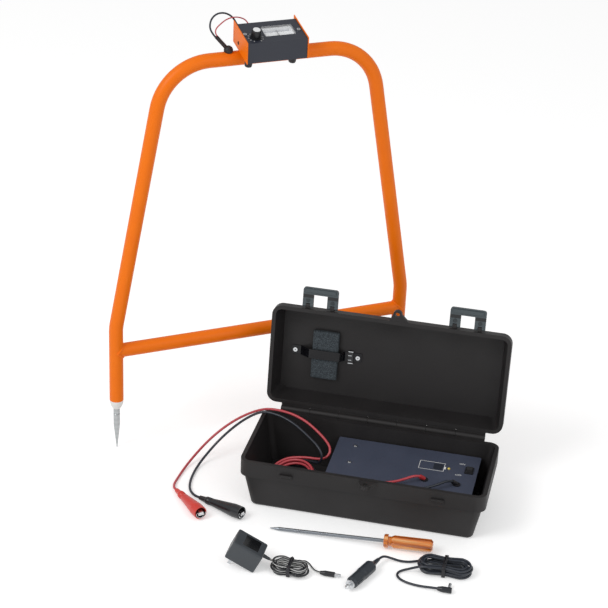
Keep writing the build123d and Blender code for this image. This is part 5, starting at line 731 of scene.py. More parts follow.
# Black moulding with a bright cap: dark sides under a disc that is nearly white.
knob_finish, tree, shader = new_finish("black_knob_with_bright_cap", {"Roughness": 0.32})
spot = add_node(tree, "ShaderNodeTexCoord").outputs["Object"]
from_foot = add_node(tree, "ShaderNodeVectorMath", {0: spot, 1: on_top(KNOB_X, KNOB_S, 0) * MM},
                     operation="SUBTRACT")
height = add_node(tree, "ShaderNodeVectorMath", {0: from_foot.outputs[0], 1: top_up}, operation="DOT_PRODUCT")
is_cap = add_node(tree, "ShaderNodeMath", {0: height.outputs["Value"], 1: CAP_LEVEL * MM},
                  operation="GREATER_THAN")
colour = add_node(tree, "ShaderNodeMix", {0: is_cap.outputs[0], 6: linear("#17181b"), 7: linear("#e6e7e8")},
                  data_type="RGBA")
feed(tree, shader, {"Base Color": colour.outputs[2]})
dress(knob_finish, "gain_knob")

# %% [markdown]
# ## The case
#
# The case is moulded from charcoal plastic with a fine spark-eroded grain. Latches and handle are a greyer
# moulding. The grain could be cut into the mesh, but it is finer than a pixel here, so it is only relief in
# the finish.

# %% Case finishes
# Moulded ABS: charcoal, matt from the grain of its mould, with a weak gleam on the rims.
case_plastic = grained("charcoal_moulded_abs", "#1d1b1c", "#262424", 1.5, 0.08, (0.46, 0.6),
                       {"IOR": 1.53, "Specular IOR Level": 0.35})
dress(case_plastic, "case_base", "case_lid")
# Moulded nylon: grey green and a little glossier than the case.
dress(grained("grey_green_moulded_nylon", "#353e42", "#454f53", 1.4, 0.07, (0.42, 0.56), PLASTIC),
      "carry_handle")
# Moulded switch plastic: black with a satin skin.
dress(grained("black_moulded_plastic", "#17171a", "#232326", 1.2, 0.06, (0.34, 0.48), PLASTIC),
      "transmitter_tray", "power_switch", "power_rocker")
# Coated webbing: black, with a hard narrow gleam.
dress(grained("coated_black_webbing", "#0a0a0c", "#131318", 1.4, 0.12, (0.16, 0.28),
              {"IOR": 1.5, "Specular IOR Level": 0.3}), "lid_strap")
# Moulded lens: yellow and glossy.
dress(grained("yellow_lamp_lens", "#d8b92e", "#f0dc6a", 2.0, 0.02, (0.12, 0.2), {"IOR": 1.49}), "charge_lamp")
# Varnished core iron: brown, uneven and half gloss.
dress(grained("varnished_iron_core", "#3b3430", "#54483e", 1.5, 0.08, (0.4, 0.55)), "pulse_transformer")

# %% [markdown]
# ### Latches, strap fittings and grommets
#
# Some solids hold two colours of one moulding: a black buckle between zinc screws, a red sleeve beside a
# black one. Each latch also has a darker band of painted shade across it, where a step in the latch lies in
# shadow. Faces could be painted one by one, but a solid's triangles don't end where the colour does. A test
# on the place of a point does, so each finish asks where it is.

# %% Latch finish
LID_LEAN = math.radians(8.0)
LID_AT = Vector((0.0, 103.5, 96.0))
lid_v = Vector((0.0, math.sin(LID_LEAN), math.cos(LID_LEAN)))
lid_n = Vector((0.0, -math.cos(LID_LEAN), math.sin(LID_LEAN)))


def on_lid(x, v, n):
    """A point of the open lid: along the hinge, from hinge to latches, and from rim level into the room."""
    return LID_AT + Vector((x, 0, 0)) + lid_v * v + lid_n * n


# Moulded nylon: grey green, half matt, with a band of painted shade level with the top of the latch's window,
# where a step in the latch lies in shadow.
SHADE_BAND_MIDDLE, SHADE_BAND_HALF, LATCH_GRAIN, LATCH_DEPTH = 219.4, 3.2, 1.4, 0.07
latch_finish, tree, shader = new_finish("grey_green_nylon_with_painted_shade_band", {"Roughness": 0.48, "IOR": 1.53})
spot = add_node(tree, "ShaderNodeTexCoord").outputs["Object"]
from_hinge = add_node(tree, "ShaderNodeVectorMath", {0: spot, 1: LID_AT * MM}, operation="SUBTRACT")
along_lid = add_node(tree, "ShaderNodeVectorMath", {0: from_hinge.outputs[0], 1: lid_v},
                     operation="DOT_PRODUCT")
is_shade_band = add_node(tree, "ShaderNodeMath", {0: along_lid.outputs["Value"], 1: SHADE_BAND_MIDDLE * MM,
                                            2: SHADE_BAND_HALF * MM}, operation="COMPARE")
grain = add_node(tree, "ShaderNodeTexNoise", {"Vector": spot, "Scale": 1000 / LATCH_GRAIN, "Detail": 3.0})
nylon = add_node(tree, "ShaderNodeMix", {0: grain.outputs["Fac"], 6: linear("#353e42"), 7: linear("#4a5458")},
                 data_type="RGBA")
colour = add_node(tree, "ShaderNodeMix", {0: is_shade_band.outputs[0], 6: nylon.outputs[2], 7: linear("#15181a")},
                  data_type="RGBA")
relief = add_node(tree, "ShaderNodeBump", {"Height": grain.outputs["Fac"], "Distance": LATCH_DEPTH * MM,
                                           "Strength": RELIEF})
feed(tree, shader, {"Base Color": colour.outputs[2], "Normal": relief.outputs[0]})
dress(latch_finish, "latch_left", "latch_right")

# %% Strap fittings and grommets finishes
# Zinc plated screws and a blackened buckle: two bright dots with a dark frame between them.
BUCKLE_X, BUCKLE_REACH = -73.0, 6.0
fittings_finish, tree, shader = new_finish("zinc_screws_and_black_buckle", {"Roughness": 0.22})
where = add_node(tree, "ShaderNodeSeparateXYZ", {0: add_node(tree, "ShaderNodeTexCoord").outputs["Object"]})
is_buckle = add_node(tree, "ShaderNodeMath", {0: where.outputs["X"], 1: BUCKLE_X * MM, 2: BUCKLE_REACH * MM},
                     operation="COMPARE")
colour = add_node(tree, "ShaderNodeMix", {0: is_buckle.outputs[0], 6: linear("#c9cbcd"),
                                          7: linear("#131417")}, data_type="RGBA")
is_zinc = add_node(tree, "ShaderNodeMath", {0: 1.0, 1: is_buckle.outputs[0]}, operation="SUBTRACT")
feed(tree, shader, {"Base Color": colour.outputs[2], "Metallic": is_zinc.outputs[0]})
dress(fittings_finish, "strap_fittings")

# Moulded rubber: dull black rings, and a dull red sleeve above the ring on the left side.
BETWEEN_GROMMETS, RING_TOP = 128.5, 73.2
grommet_finish, tree, shader = new_finish("red_and_black_grommet_rubber", {"Roughness": 0.5})
where = add_node(tree, "ShaderNodeSeparateXYZ", {0: add_node(tree, "ShaderNodeTexCoord").outputs["Object"]})
is_left = add_node(tree, "ShaderNodeMath", {0: where.outputs["X"], 1: BETWEEN_GROMMETS * MM},
                   operation="LESS_THAN")
is_sleeve = add_node(tree, "ShaderNodeMath", {0: where.outputs["Z"], 1: RING_TOP * MM},
                     operation="GREATER_THAN")
is_red = add_node(tree, "ShaderNodeMath", {0: is_left.outputs[0], 1: is_sleeve.outputs[0]},
                  operation="MULTIPLY")
colour = add_node(tree, "ShaderNodeMix", {0: is_red.outputs[0], 6: linear("#17161a"), 7: linear("#a8232a")},
                  data_type="RGBA")
feed(tree, shader, {"Base Color": colour.outputs[2]})
dress(grommet_finish, "panel_grommets")

# %% [markdown]
# ## Clips, stake and adapters
#
# The clips wear soft vinyl boots over plated steel jaws, and the stake is a plated rod in a clear amber
# handle. Real clear plastic could be left to the light alone, but the streaks inside it would take many
# samples to settle, so most of them are drawn.

# %% Clip, stake and adapter finishes
dress(red_boot, "red_clip_boot")
dress(black_boot, "black_clip_boot")
dress(chrome, "fixed_jaws", "red_moving_jaw", "black_moving_jaw", "car_plug_tip")
# Dull plated steel: a grey rod with one soft streak of light along it.
dress(grained("dull_plated_steel", "#84898f", "#92979d", 1.0, 0.02, (0.26, 0.34), METAL), "stake_rod")
# Moulded polycarbonate: charcoal with a fine even grain.
dress(grained("charcoal_polycarbonate", "#2e3338", "#393f45", 1.3, 0.06, (0.38, 0.52), {"IOR": 1.58}),
      "adapter_top", "adapter_base")

# Clear amber acetate: light runs inside it in long streaks between dark flutes, under a hard polished skin.
STREAK_LONG, STREAK_WIDE = 150, 8
amber, tree, shader = new_finish("amber_acetate", {"IOR": 1.48, "Roughness": 0.1, "Coat Weight": 1.0,
                                                   "Coat Roughness": 0.04, "Transmission Weight": 0.2})
spot = add_node(tree, "ShaderNodeTexCoord").outputs["Object"]
drawn = add_node(tree, "ShaderNodeMapping", {"Vector": spot, "Scale": (1000 / STREAK_LONG, 1000 / STREAK_WIDE,
                                                                       1000 / STREAK_WIDE)})
streaks = add_node(tree, "ShaderNodeTexNoise", {"Vector": drawn.outputs[0], "Scale": 1.0, "Detail": 2.0})
colour = add_node(tree, "ShaderNodeValToRGB", {0: streaks.outputs["Fac"]})
dark_stop, light_stop = colour.color_ramp.elements
dark_stop.position = 0.32
dark_stop.color = linear("#a84a06")
light_stop.position = 0.66
light_stop.color = linear("#ffbe78")
colour.color_ramp.elements.new(0.5).color = linear("#f08524")
feed(tree, shader, {"Base Color": colour.outputs["Color"]})
dress(amber, "stake_handle")

# %% [markdown]
# ### Plugs of two materials
#
# A plug is moulded round its contacts, and both are one solid here. Its finish changes at a plane across the
# plug's own axis: plated metal on one side, moulded plastic on the other. Three plugs share that rule, and
# the adapter's core with its blades does too, so they share a function.


# %% Finishes of two materials
WANDER = 6.0
NICKEL = ("#b9bcc0", "#dcdee0")


def metal_beyond(name, plastic, start, axis, rough):
    """Moulded plastic that gives way to bright nickel beyond a plane, with a fine wander in both."""
    material, tree, shader = new_finish(name, {"Roughness": rough})
    spot = add_node(tree, "ShaderNodeTexCoord").outputs["Object"]
    from_start = add_node(tree, "ShaderNodeVectorMath", {0: spot, 1: Vector(start) * MM},
                          operation="SUBTRACT")
    reach = add_node(tree, "ShaderNodeVectorMath", {0: from_start.outputs[0], 1: Vector(axis)},
                     operation="DOT_PRODUCT")
    is_metal = add_node(tree, "ShaderNodeMath", {0: reach.outputs["Value"], 1: 0.0}, operation="GREATER_THAN")
    wander = add_node(tree, "ShaderNodeTexNoise", {"Vector": spot, "Scale": 1000 / WANDER, "Detail": 3.0})
    moulded, plated = [
        add_node(tree, "ShaderNodeMix", {0: wander.outputs["Fac"], 6: linear(dark), 7: linear(light)},
                 data_type="RGBA").outputs[2] for dark, light in (plastic, NICKEL)]
    colour = add_node(tree, "ShaderNodeMix", {0: is_metal.outputs[0], 6: moulded, 7: plated},
                      data_type="RGBA")
    feed(tree, shader, {"Base Color": colour.outputs[2], "Metallic": is_metal.outputs[0]})
    return material


# Moulded plug vinyl and nickel plate: a dark satin grip, and a bright end that mirrors the floor.
PLUG_GRIP_END, ELBOW_FACE, NOSE_DEPTH = (-8.0, 0, 0), (0, -235.9, 0), 2.5
car_heading = Vector((0.35986, 0.93298, 0.0))
CAR_NOSE = Vector((23.0, -279.0, 11.0))
dress(metal_beyond("moulded_plug_with_nickel_sleeve", ("#17181c", "#25272c"), PLUG_GRIP_END, (1, 0, 0), 0.32),
      "adapter_plug")
dress(metal_beyond("elbow_plug_with_nickel_sleeve", ("#191b20", "#262a31"), ELBOW_FACE, (0, 1, 0), 0.32),
      "car_angle_plug")
dress(metal_beyond("slate_plug_with_plated_nose", ("#1f252c", "#2c343c"), CAR_NOSE + car_heading * NOSE_DEPTH,
                   -car_heading, 0.34), "car_plug_body")

# %% [markdown]
# ## The foam pad in the lid
#
# A block of open-cell foam holds a spare part under a strap. Its faces are cut flat, its edges have gone
# soft, and the strap presses a groove into it. Cloth would swell like a cushion, and foam doesn't, so a grid
# of points is pressed by a formula instead.

# %% Foam finish
# Open-cell foam: grey flecks of three shades, quite dull, with pores that break up the light.
FLECK, PORE, PORE_DEPTH = 1.3, 3.0, 0.6
foam, tree, shader = new_finish("speckled_grey_foam", {"Roughness": 0.95, "IOR": 1.4})
spot = add_node(tree, "ShaderNodeTexCoord").outputs["Object"]
cells = add_node(tree, "ShaderNodeTexVoronoi", {"Vector": spot, "Scale": 1000 / FLECK})
crumbs = add_node(tree, "ShaderNodeTexNoise", {"Vector": spot, "Scale": 1000 / PORE, "Detail": 3.0})
fleck = add_node(tree, "ShaderNodeSeparateColor", {0: cells.outputs["Color"]})
colour = add_node(tree, "ShaderNodeValToRGB", {0: fleck.outputs[0]})
dark_stop, light_stop = colour.color_ramp.elements
dark_stop.color = linear("#2c3236")
light_stop.color = linear("#4e565b")
colour.color_ramp.elements.new(0.45).color = linear("#393f44")
pores = add_node(tree, "ShaderNodeBump", {"Height": crumbs.outputs["Fac"], "Distance": PORE_DEPTH * MM,
                                          "Strength": 0.8})
feed(tree, shader, {"Base Color": colour.outputs["Color"], "Normal": pores.outputs[0]})
print("finish", foam.name)

# %% Foam pad
PAD_X, PAD_V, PAD_WIDTH, PAD_LENGTH, PAD_THICK = -120.0, 101.0, 49.0, 92.0, 10.0
PAD_FLOOR, FLOOR_GAP, SIDE_INSET, SIDE_BOW, EDGE_DROP = -39.0, 0.05, 0.4, 0.012, 1.2
STRAP_V, DENT_DEPTH, DENT_REACH = 103.0, 1.6, 9.0
COLUMNS, ROWS = 22, 40
shape = bmesh.new()
top, bottom = {}, {}
for i in range(COLUMNS + 1):
    for j in range(ROWS + 1):
        s = 2 * i / COLUMNS - 1
        t = 2 * j / ROWS - 1
        x = PAD_X + s * (PAD_WIDTH / 2 - SIDE_INSET) * (1 - SIDE_BOW * t * t)
        v = PAD_V + t * (PAD_LENGTH / 2 - SIDE_INSET) * (1 - SIDE_BOW * s * s)
        edge = max(abs(s) ** 14, abs(t) ** 24)
        dent = DENT_DEPTH * math.exp(-((v - STRAP_V) / DENT_REACH) ** 4)
        thick = PAD_THICK - EDGE_DROP * edge - dent
        top[i, j] = shape.verts.new(on_lid(x, v, PAD_FLOOR + thick) * MM)
        bottom[i, j] = shape.verts.new(on_lid(x, v, PAD_FLOOR + FLOOR_GAP) * MM)
for i in range(COLUMNS):
    for j in range(ROWS):
        shape.faces.new((top[i, j], top[i + 1, j], top[i + 1, j + 1], top[i, j + 1]))
        shape.faces.new((bottom[i, j], bottom[i, j + 1], bottom[i + 1, j + 1], bottom[i + 1, j]))
border = ([(i, 0) for i in range(COLUMNS)] + [(COLUMNS, j) for j in range(ROWS)]
          + [(i, ROWS) for i in range(COLUMNS, 0, -1)] + [(0, j) for j in range(ROWS, 0, -1)])
for one, other in zip(border, border[1:] + border[:1]):
    shape.faces.new((bottom[one], bottom[other], top[other], top[one]))
pad = place_piece("foam_pad", mesh_from(shape), foam, "lid", ("lid_pad",))
soften = pad.modifiers.new("soft_edges", "BEVEL")
soften.width = 1.6 * MM
soften.segments = 3
soften.limit_method = "ANGLE"
print("foam pad,", len(pad.data.vertices), "points")

# %% [markdown]
# ## Small shapes that repeat
#
# Scale ticks, knob ribs, screw recesses, latch rivets and the ripples of a weld are each one small shape
# again and again. Modelling them by hand would be slow, and an array modifier only knows straight rows, so
# three node trees place them: bars on an arc, crosses on points, and domes on points. Each tree has named
# inputs for its sizes. Its result becomes a plain mesh in millimetres, which is then set in its place.


# %% Node tree helpers
def new_tree(name, sockets):
    """A geometry tree with named inputs, and the node that hands them out."""
    tree = bpy.data.node_groups.new(name, "GeometryNodeTree")
    for label, kind in sockets:
        tree.interface.new_socket(label, in_out="INPUT", socket_type="NodeSocket" + kind)
    tree.interface.new_socket("Geometry", in_out="OUTPUT", socket_type="NodeSocketGeometry")
    return tree, add_node(tree, "NodeGroupInput").outputs


def close_tree(tree, placed, material):
    """Ends a tree: copies become real geometry, get their material and leave."""
    real = add_node(tree, "GeometryNodeRealizeInstances", {0: placed})
    painted = add_node(tree, "GeometryNodeSetMaterial", {"Geometry": real.outputs[0], "Material": material})
    add_node(tree, "NodeGroupOutput", {0: painted.outputs[0]})


def set_piece(name, mesh, origin, plane, material, body):
    """Takes a mesh from millimetres in a plane of its own to its place on the object, as a piece."""
    x_axis, y_axis = plane
    turn = Matrix((x_axis, y_axis, x_axis.cross(y_axis))).transposed().to_4x4()
    mesh.transform(Matrix.Translation(Vector(origin) * MM) @ turn @ Matrix.Scale(MM, 4))
    return place_piece(name, mesh, material, body)


def grow_piece(name, tree, points, inputs, origin, plane, material, body):
    """Runs a tree on loose points in mm, and sets down what grew, as a piece with a plain mesh."""
    seed_mesh = bpy.data.meshes.new("points")
    seed_mesh.from_pydata([tuple(point) for point in points], [], [])
    seed = bpy.data.objects.new("points", seed_mesh)
    scene.collection.objects.link(seed)
    grow = seed.modifiers.new("grow", "NODES")
    grow.node_group = tree
    values = {**inputs, "Material": material}
    for item in tree.interface.items_tree:
        if item.in_out == "INPUT" and item.name in values:
            grow[item.identifier] = values[item.name]
    ready = seed.evaluated_get(bpy.context.evaluated_depsgraph_get())
    mesh = bpy.data.meshes.new_from_object(ready)
    bpy.data.objects.remove(seed)
    print(name, len(mesh.polygons), "faces")
    return set_piece(name, mesh, origin, plane, material, body)


# Planes that small pieces lie in, each as its own right and up.
X, Y, Z = Vector((1, 0, 0)), Vector((0, 1, 0)), Vector((0, 0, 1))
LEVEL, LID_PLANE, TOP_PLANE, END_PLANE = (X, Y), (X, lid_v), (face_along, top_back), (Z, face_front)
print("four planes for small pieces")

# %% Tree of bars on an arc
arc_tree, given = new_tree("bars_on_arc", [("Geometry", "Geometry"), ("Count", "Int"), ("Start", "Float"),
                                           ("Sweep", "Float"), ("Radius", "Float"), ("Size", "Vector"),
                                           ("Material", "Material")])
order = add_node(arc_tree, "GeometryNodeInputIndex")
gaps = add_node(arc_tree, "ShaderNodeMath", {0: given["Count"], 1: 1.0}, operation="SUBTRACT")
share = add_node(arc_tree, "ShaderNodeMath", {0: order.outputs[0], 1: gaps.outputs[0]}, operation="DIVIDE")
angle = add_node(arc_tree, "ShaderNodeMath", {0: share.outputs[0], 1: given["Sweep"], 2: given["Start"]},
                 operation="MULTIPLY_ADD")
reach = add_node(arc_tree, "ShaderNodeCombineXYZ", {"X": given["Radius"]})
place = add_node(arc_tree, "ShaderNodeVectorRotate", {"Vector": reach.outputs[0], "Angle": angle.outputs[0]},
                 rotation_type="Z_AXIS")
stops = add_node(arc_tree, "GeometryNodePoints", {"Count": given["Count"], "Position": place.outputs[0]})
heading = add_node(arc_tree, "ShaderNodeCombineXYZ", {"Z": angle.outputs[0]})
heading = add_node(arc_tree, "FunctionNodeEulerToRotation", {0: heading.outputs[0]})
bar = add_node(arc_tree, "GeometryNodeMeshCube", {"Size": given["Size"]})
bars = add_node(arc_tree, "GeometryNodeInstanceOnPoints", {
    "Points": stops.outputs[0], "Instance": bar.outputs[0], "Rotation": heading.outputs[0]})
close_tree(arc_tree, bars.outputs[0], given["Material"])
print("node tree", arc_tree.name)

# %% Tree of crosses on points
cross_tree, given = new_tree("crosses_on_points", [("Geometry", "Geometry"), ("Size", "Vector"),
                                                   ("Material", "Material")])
lying = add_node(cross_tree, "GeometryNodeMeshCube", {"Size": given["Size"]})
standing = add_node(cross_tree, "GeometryNodeTransform", {
    "Geometry": lying.outputs[0], "Rotation": (0, 0, math.pi / 2), "Scale": (1, 1, 0.94)})
cross = add_node(cross_tree, "GeometryNodeJoinGeometry", {0: lying.outputs[0]})
cross_tree.links.new(standing.outputs[0], cross.inputs[0])
tilt = add_node(cross_tree, "FunctionNodeRandomValue", {0: (0, 0, 0), 1: (0, 0, 1.5), "Seed": 4},
                data_type="FLOAT_VECTOR")
tilt = add_node(cross_tree, "FunctionNodeEulerToRotation", {0: tilt.outputs[0]})
crosses = add_node(cross_tree, "GeometryNodeInstanceOnPoints", {
    "Points": given["Geometry"], "Instance": cross.outputs[0], "Rotation": tilt.outputs[0]})
close_tree(cross_tree, crosses.outputs[0], given["Material"])
print("node tree", cross_tree.name)

# %% Tree of domes on points
dome_tree, given = new_tree("domes_on_points", [("Geometry", "Geometry"), ("Radius", "Float"),
                                                ("Flatness", "Float"), ("Spread", "Float"),
                                                ("Material", "Material")])
ball = add_node(dome_tree, "GeometryNodeMeshIcoSphere", {"Radius": given["Radius"], "Subdivisions": 3})
squash = add_node(dome_tree, "ShaderNodeCombineXYZ", {"X": 1.0, "Y": 1.0, "Z": given["Flatness"]})
dome = add_node(dome_tree, "GeometryNodeTransform", {"Geometry": ball.outputs[0], "Scale": squash.outputs[0]})
dome = add_node(dome_tree, "GeometryNodeSetShadeSmooth", {0: dome.outputs[0]})
least = add_node(dome_tree, "ShaderNodeMath", {0: 1.0, 1: given["Spread"]}, operation="SUBTRACT")
grown = add_node(dome_tree, "FunctionNodeRandomValue", {2: least.outputs[0], 3: 1.0, "Seed": 7},
                 data_type="FLOAT")
domes = add_node(dome_tree, "GeometryNodeInstanceOnPoints", {
    "Points": given["Geometry"], "Instance": dome.outputs[0], "Scale": grown.outputs[1]})
close_tree(dome_tree, domes.outputs[0], given["Material"])
print("node tree", dome_tree.name)

# %% [markdown]
# ### Weld beads on the frame
#
# The cross tube is coped to the legs and welded all round, then coated with the frame. A weld is a row of
# frozen ripples along the saddle line where the two tubes meet. A plain ring would look like a gasket, so
# domes of slightly different size overlap on that line.

# %% Weld beads
TUBE_RADIUS, LEG_AT, CROSS_HEIGHT, RIPPLES, RIPPLE_RADIUS = 12.7, 280.0, 201.0, 44, 2.3
seam = []
for leg in (-1, 1):
    for k in range(RIPPLES):
        t = 2 * math.pi * k / RIPPLES
        seam.append(on_face(leg * (LEG_AT - TUBE_RADIUS * abs(math.sin(t))),
                            CROSS_HEIGHT + TUBE_RADIUS * math.sin(t), TUBE_RADIUS * math.cos(t)))
grow_piece("weld_beads", dome_tree, seam, {"Radius": RIPPLE_RADIUS, "Flatness": 1.0, "Spread": 0.2},
           (0, 0, 0), LEVEL, orange_coat, "a_frame")

# %% [markdown]
# ### Screw recesses and latch rivets
#
# A cross recess shows as a dark cross on a bright head, turned any way round. It could be cut into each
# head, but a thin dark cross looks the same at this size. The latch legs have round rivet heads.

# %% Recesses and rivets
# Nylon rivets: darker than the latch and smooth.
rivet_nylon = grained("dark_green_nylon_rivet", "#1c2427", "#273135", 1.2, 0.03, (0.35, 0.48), PLASTIC)
# Bare steel in its own shadow: dark and dull.
recess_shadow = grained("shaded_screw_recess", "#1d1e20", "#303236", 0.8, 0.02, (0.5, 0.7))
RECESS = Vector((3.0, 0.7, 0.16))
PANEL_TOP, SCREW_HEAD, STRAP_TOP, STRAP_HEAD = 70.5, 2.2, -37.4, 2.0
END_FACE, END_HEAD_TOP, END_HEIGHT, END_FRONT = -62.0, -62.9, 762.0, 7.0
heads = {
    "panel": ("case", [(-37, 52, 0), (-37, -4, 0), (-37, -62, 0), (152, -62, 0)],
              (0, 0, PANEL_TOP + SCREW_HEAD), LEVEL),
    "strap": ("lid", [(-176, STRAP_V, 0), (-60, STRAP_V, 0)], LID_AT + lid_n * (STRAP_TOP + STRAP_HEAD),
              LID_PLANE),
    "cover": ("a_frame", [(-56.5, -23.5, 0), (41, -23.5, 0)], TOP_AT + top_up * SCREW_HEAD, TOP_PLANE),
    "plate": ("a_frame", [(0, 0, 0)], on_face(END_HEAD_TOP, END_HEIGHT, END_FRONT), END_PLANE),
}
for owner, (body, points, origin, plane) in heads.items():
    grow_piece(owner + "_screw_recesses", cross_tree, points, {"Size": RECESS}, origin, plane, recess_shadow,
               body)
grow_piece("plate_screw", dome_tree, [(0, 0, 0)], {"Radius": 3.2, "Flatness": 0.28, "Spread": 0.0},
           on_face(END_FACE, END_HEIGHT, END_FRONT), END_PLANE, blacked_steel, "a_frame")
RIVET_V, RIVET_OUT, LEG_SPACING = 211.5, -5.5, 22.25
for side, middle in (("left", -131.0), ("right", 134.0)):
    points = [(middle + across, RIVET_V, 0) for across in (-LEG_SPACING, LEG_SPACING)]
    grow_piece(side + "_latch_rivets", dome_tree, points, {"Radius": 4.0, "Flatness": 0.16, "Spread": 0.0},
               LID_AT + lid_n * RIVET_OUT, LID_PLANE, rivet_nylon, side + "_latch")

# %% [markdown]
# ### Knob ribs and scales
#
# The knob has fine ribs for grip. Round it, white printed ticks mark the gain from least to most, and the
# meter's dial has a short scale in front of its needle. All of them are bars on an arc, so one tree makes
# them and only its inputs change.

# %% Knob ribs and scales
# Screen print: thin, opaque and a little duller than the paint under it.
white_print = grained("white_screen_print", "#dcdcda", "#efefec", 2.0, 0.01, (0.45, 0.6))
black_print = grained("black_screen_print", "#18181a", "#28282a", 2.0, 0.01, (0.45, 0.6))
# Moulded knob plastic: black with bright edges on its ribs.
rib_plastic = grained("black_knob_plastic", "#141518", "#212327", 1.5, 0.03, (0.3, 0.42), PLASTIC)
RIBS, RIB_RADIUS, RIB_MIDDLE = 30, 7.75, 9.2
DIAL_X, DIAL_PIVOT, DIAL_FLOOR = 5.5, -28.5, -7.6
DIAL_START, DIAL_SWEEP = math.radians(50), math.radians(80)
dial_pivot = on_top(DIAL_X, DIAL_PIVOT, DIAL_FLOOR)
arcs = [
    ("knob_ribs", RIBS, 0.0, 2 * math.pi * (RIBS - 1) / RIBS, RIB_RADIUS, (0.7, 0.7, 9.6),
     on_top(KNOB_X, KNOB_S, RIB_MIDDLE), rib_plastic, "knob"),
    ("gain_scale", 11, math.radians(-60), math.radians(300), 12.6, (2.6, 0.7, 0.12),
     on_top(KNOB_X, KNOB_S, 0.0), white_print, "a_frame"),
    ("dial_fine_ticks", 21, DIAL_START, DIAL_SWEEP, 17.9, (1.4, 0.25, 0.12), dial_pivot, black_print,
     "a_frame"),
    ("dial_main_ticks", 5, DIAL_START, DIAL_SWEEP, 18.4, (2.6, 0.5, 0.12), dial_pivot, black_print,
     "a_frame"),
]
for name, count, start, sweep, radius, size, origin, material, body in arcs:
    grow_piece(name, arc_tree, [(0, 0, 0)],
               {"Count": count, "Start": start, "Sweep": sweep, "Radius": radius, "Size": Vector(size)},
               origin, TOP_PLANE, material, body)

# %% [markdown]
# ### Print on the panel, and painted shade on the dial
#
# The panel has a printed outline of a battery that ends at the charge lamp, and the words of the switch. The
# knob has a white pointer, and the dial a grey band of painted shade, where the meter's well casts its shadow
# across the top. Print could be painted by a finish, but as thin raised outlines it keeps its sharp edges in
# the mesh.


# %% Panel print
def flat_piece(name, outlines, thick, origin, plane, material, body):
    """Closed outlines in a plane, in mm, raised to a thickness and set down as one piece."""
    shape = bmesh.new()
    for outline in outlines:
        face = shape.faces.new([shape.verts.new((x, y, 0.0)) for x, y in outline])
        risen = bmesh.ops.extrude_face_region(shape, geom=[face])
        top = [item for item in risen["geom"] if isinstance(item, bmesh.types.BMVert)]
        bmesh.ops.translate(shape, vec=(0, 0, thick), verts=top)
    return set_piece(name, mesh_from(shape), origin, plane, material, body)


def rectangle(left, low, right, high):
    """Corners of an upright rectangle."""
    return [(left, low), (right, low), (right, high), (left, high)]


def line_frame(left, low, right, high, line):
    """The four sides of a rectangle that is drawn with a line of this width."""
    return [rectangle(left, low, right, low + line), rectangle(left, high - line, right, high),
            rectangle(left, low + line, left + line, high - line),
            rectangle(right - line, low + line, right, high - line)]


ON_PANEL = (0, 0, PANEL_TOP)
LINE_THICK, PATCH_THICK, POINTER_THICK = 0.08, 0.06, 0.3
CELL = line_frame(83.0, 13.0, 128.0, 40.0, line=0.9)
CELL_STUD = rectangle(128.0, 21.0, 130.6, 29.0)
flat_piece("battery_outline", CELL + [CELL_STUD], LINE_THICK, ON_PANEL, LEVEL, white_print, "case")
print("battery outline of", len(CELL) + 1, "bars")

# %% Words, pointer and patches
LETTER_SIZE, LETTER_THICK = 6.4, 0.04
for word, middle in (("ON", (157.0, 46.5)), ("OFF", (155.0, 9.0))):
    letters = bpy.data.curves.new("switch_word", "FONT")
    letters.body = word
    letters.size = LETTER_SIZE
    letters.align_x = "CENTER"
    letters.align_y = "CENTER"
    letters.extrude = LETTER_THICK
    sign = bpy.data.objects.new("switch_word", letters)
    scene.collection.objects.link(sign)
    ready = sign.evaluated_get(bpy.context.evaluated_depsgraph_get())
    mesh = bpy.data.meshes.new_from_object(ready)
    bpy.data.objects.remove(sign)
    set_piece("switch_word_" + word.lower(), mesh, (*middle, PANEL_TOP + LETTER_THICK), LEVEL, white_print,
              "case")
POINTER_HEIGHT, DIAL_SHADE_BAND_S = 3.5, -19.5
flat_piece("knob_pointer", [rectangle(-0.6, 7.6, 0.6, 9.4)], POINTER_THICK,
           on_top(KNOB_X, KNOB_S, POINTER_HEIGHT), TOP_PLANE, white_print, "knob")
# The same thin print in dark slate for the charge window. The dial's grey band is painted shade, for the
# shadow that the meter's well casts across the top of the dial.
dark_print = grained("dark_slate_print", "#20242e", "#2a2f3a", 2.0, 0.01, (0.4, 0.55))
flat_piece("charge_window", [rectangle(108.5, 16.5, 125.0, 36.5)], PATCH_THICK, ON_PANEL, LEVEL, dark_print,
           "case")
# Painted shade: a grey band across the top of the dial, where the meter's well shades it.
dial_shade_paint = grained("grey_painted_dial_shade", "#a9adb4", "#babdc3", 2.0, 0.01, (0.4, 0.55))
flat_piece("dial_shade_band", [rectangle(-24.6, 7.0, 24.6, 11.0)], PATCH_THICK,
           on_top(DIAL_X, DIAL_SHADE_BAND_S, DIAL_FLOOR), TOP_PLANE, dial_shade_paint, "a_frame")
print("switch words, knob pointer, charge window and dial band")

# %% [markdown]
# ### Buckle bars and plug contacts
#
# The strap's buckle has bright bars on its black frame, and the vehicle plug has a sprung contact leaf on
# each side. Both are stamped from sheet, so both are flat outlines with a thickness.

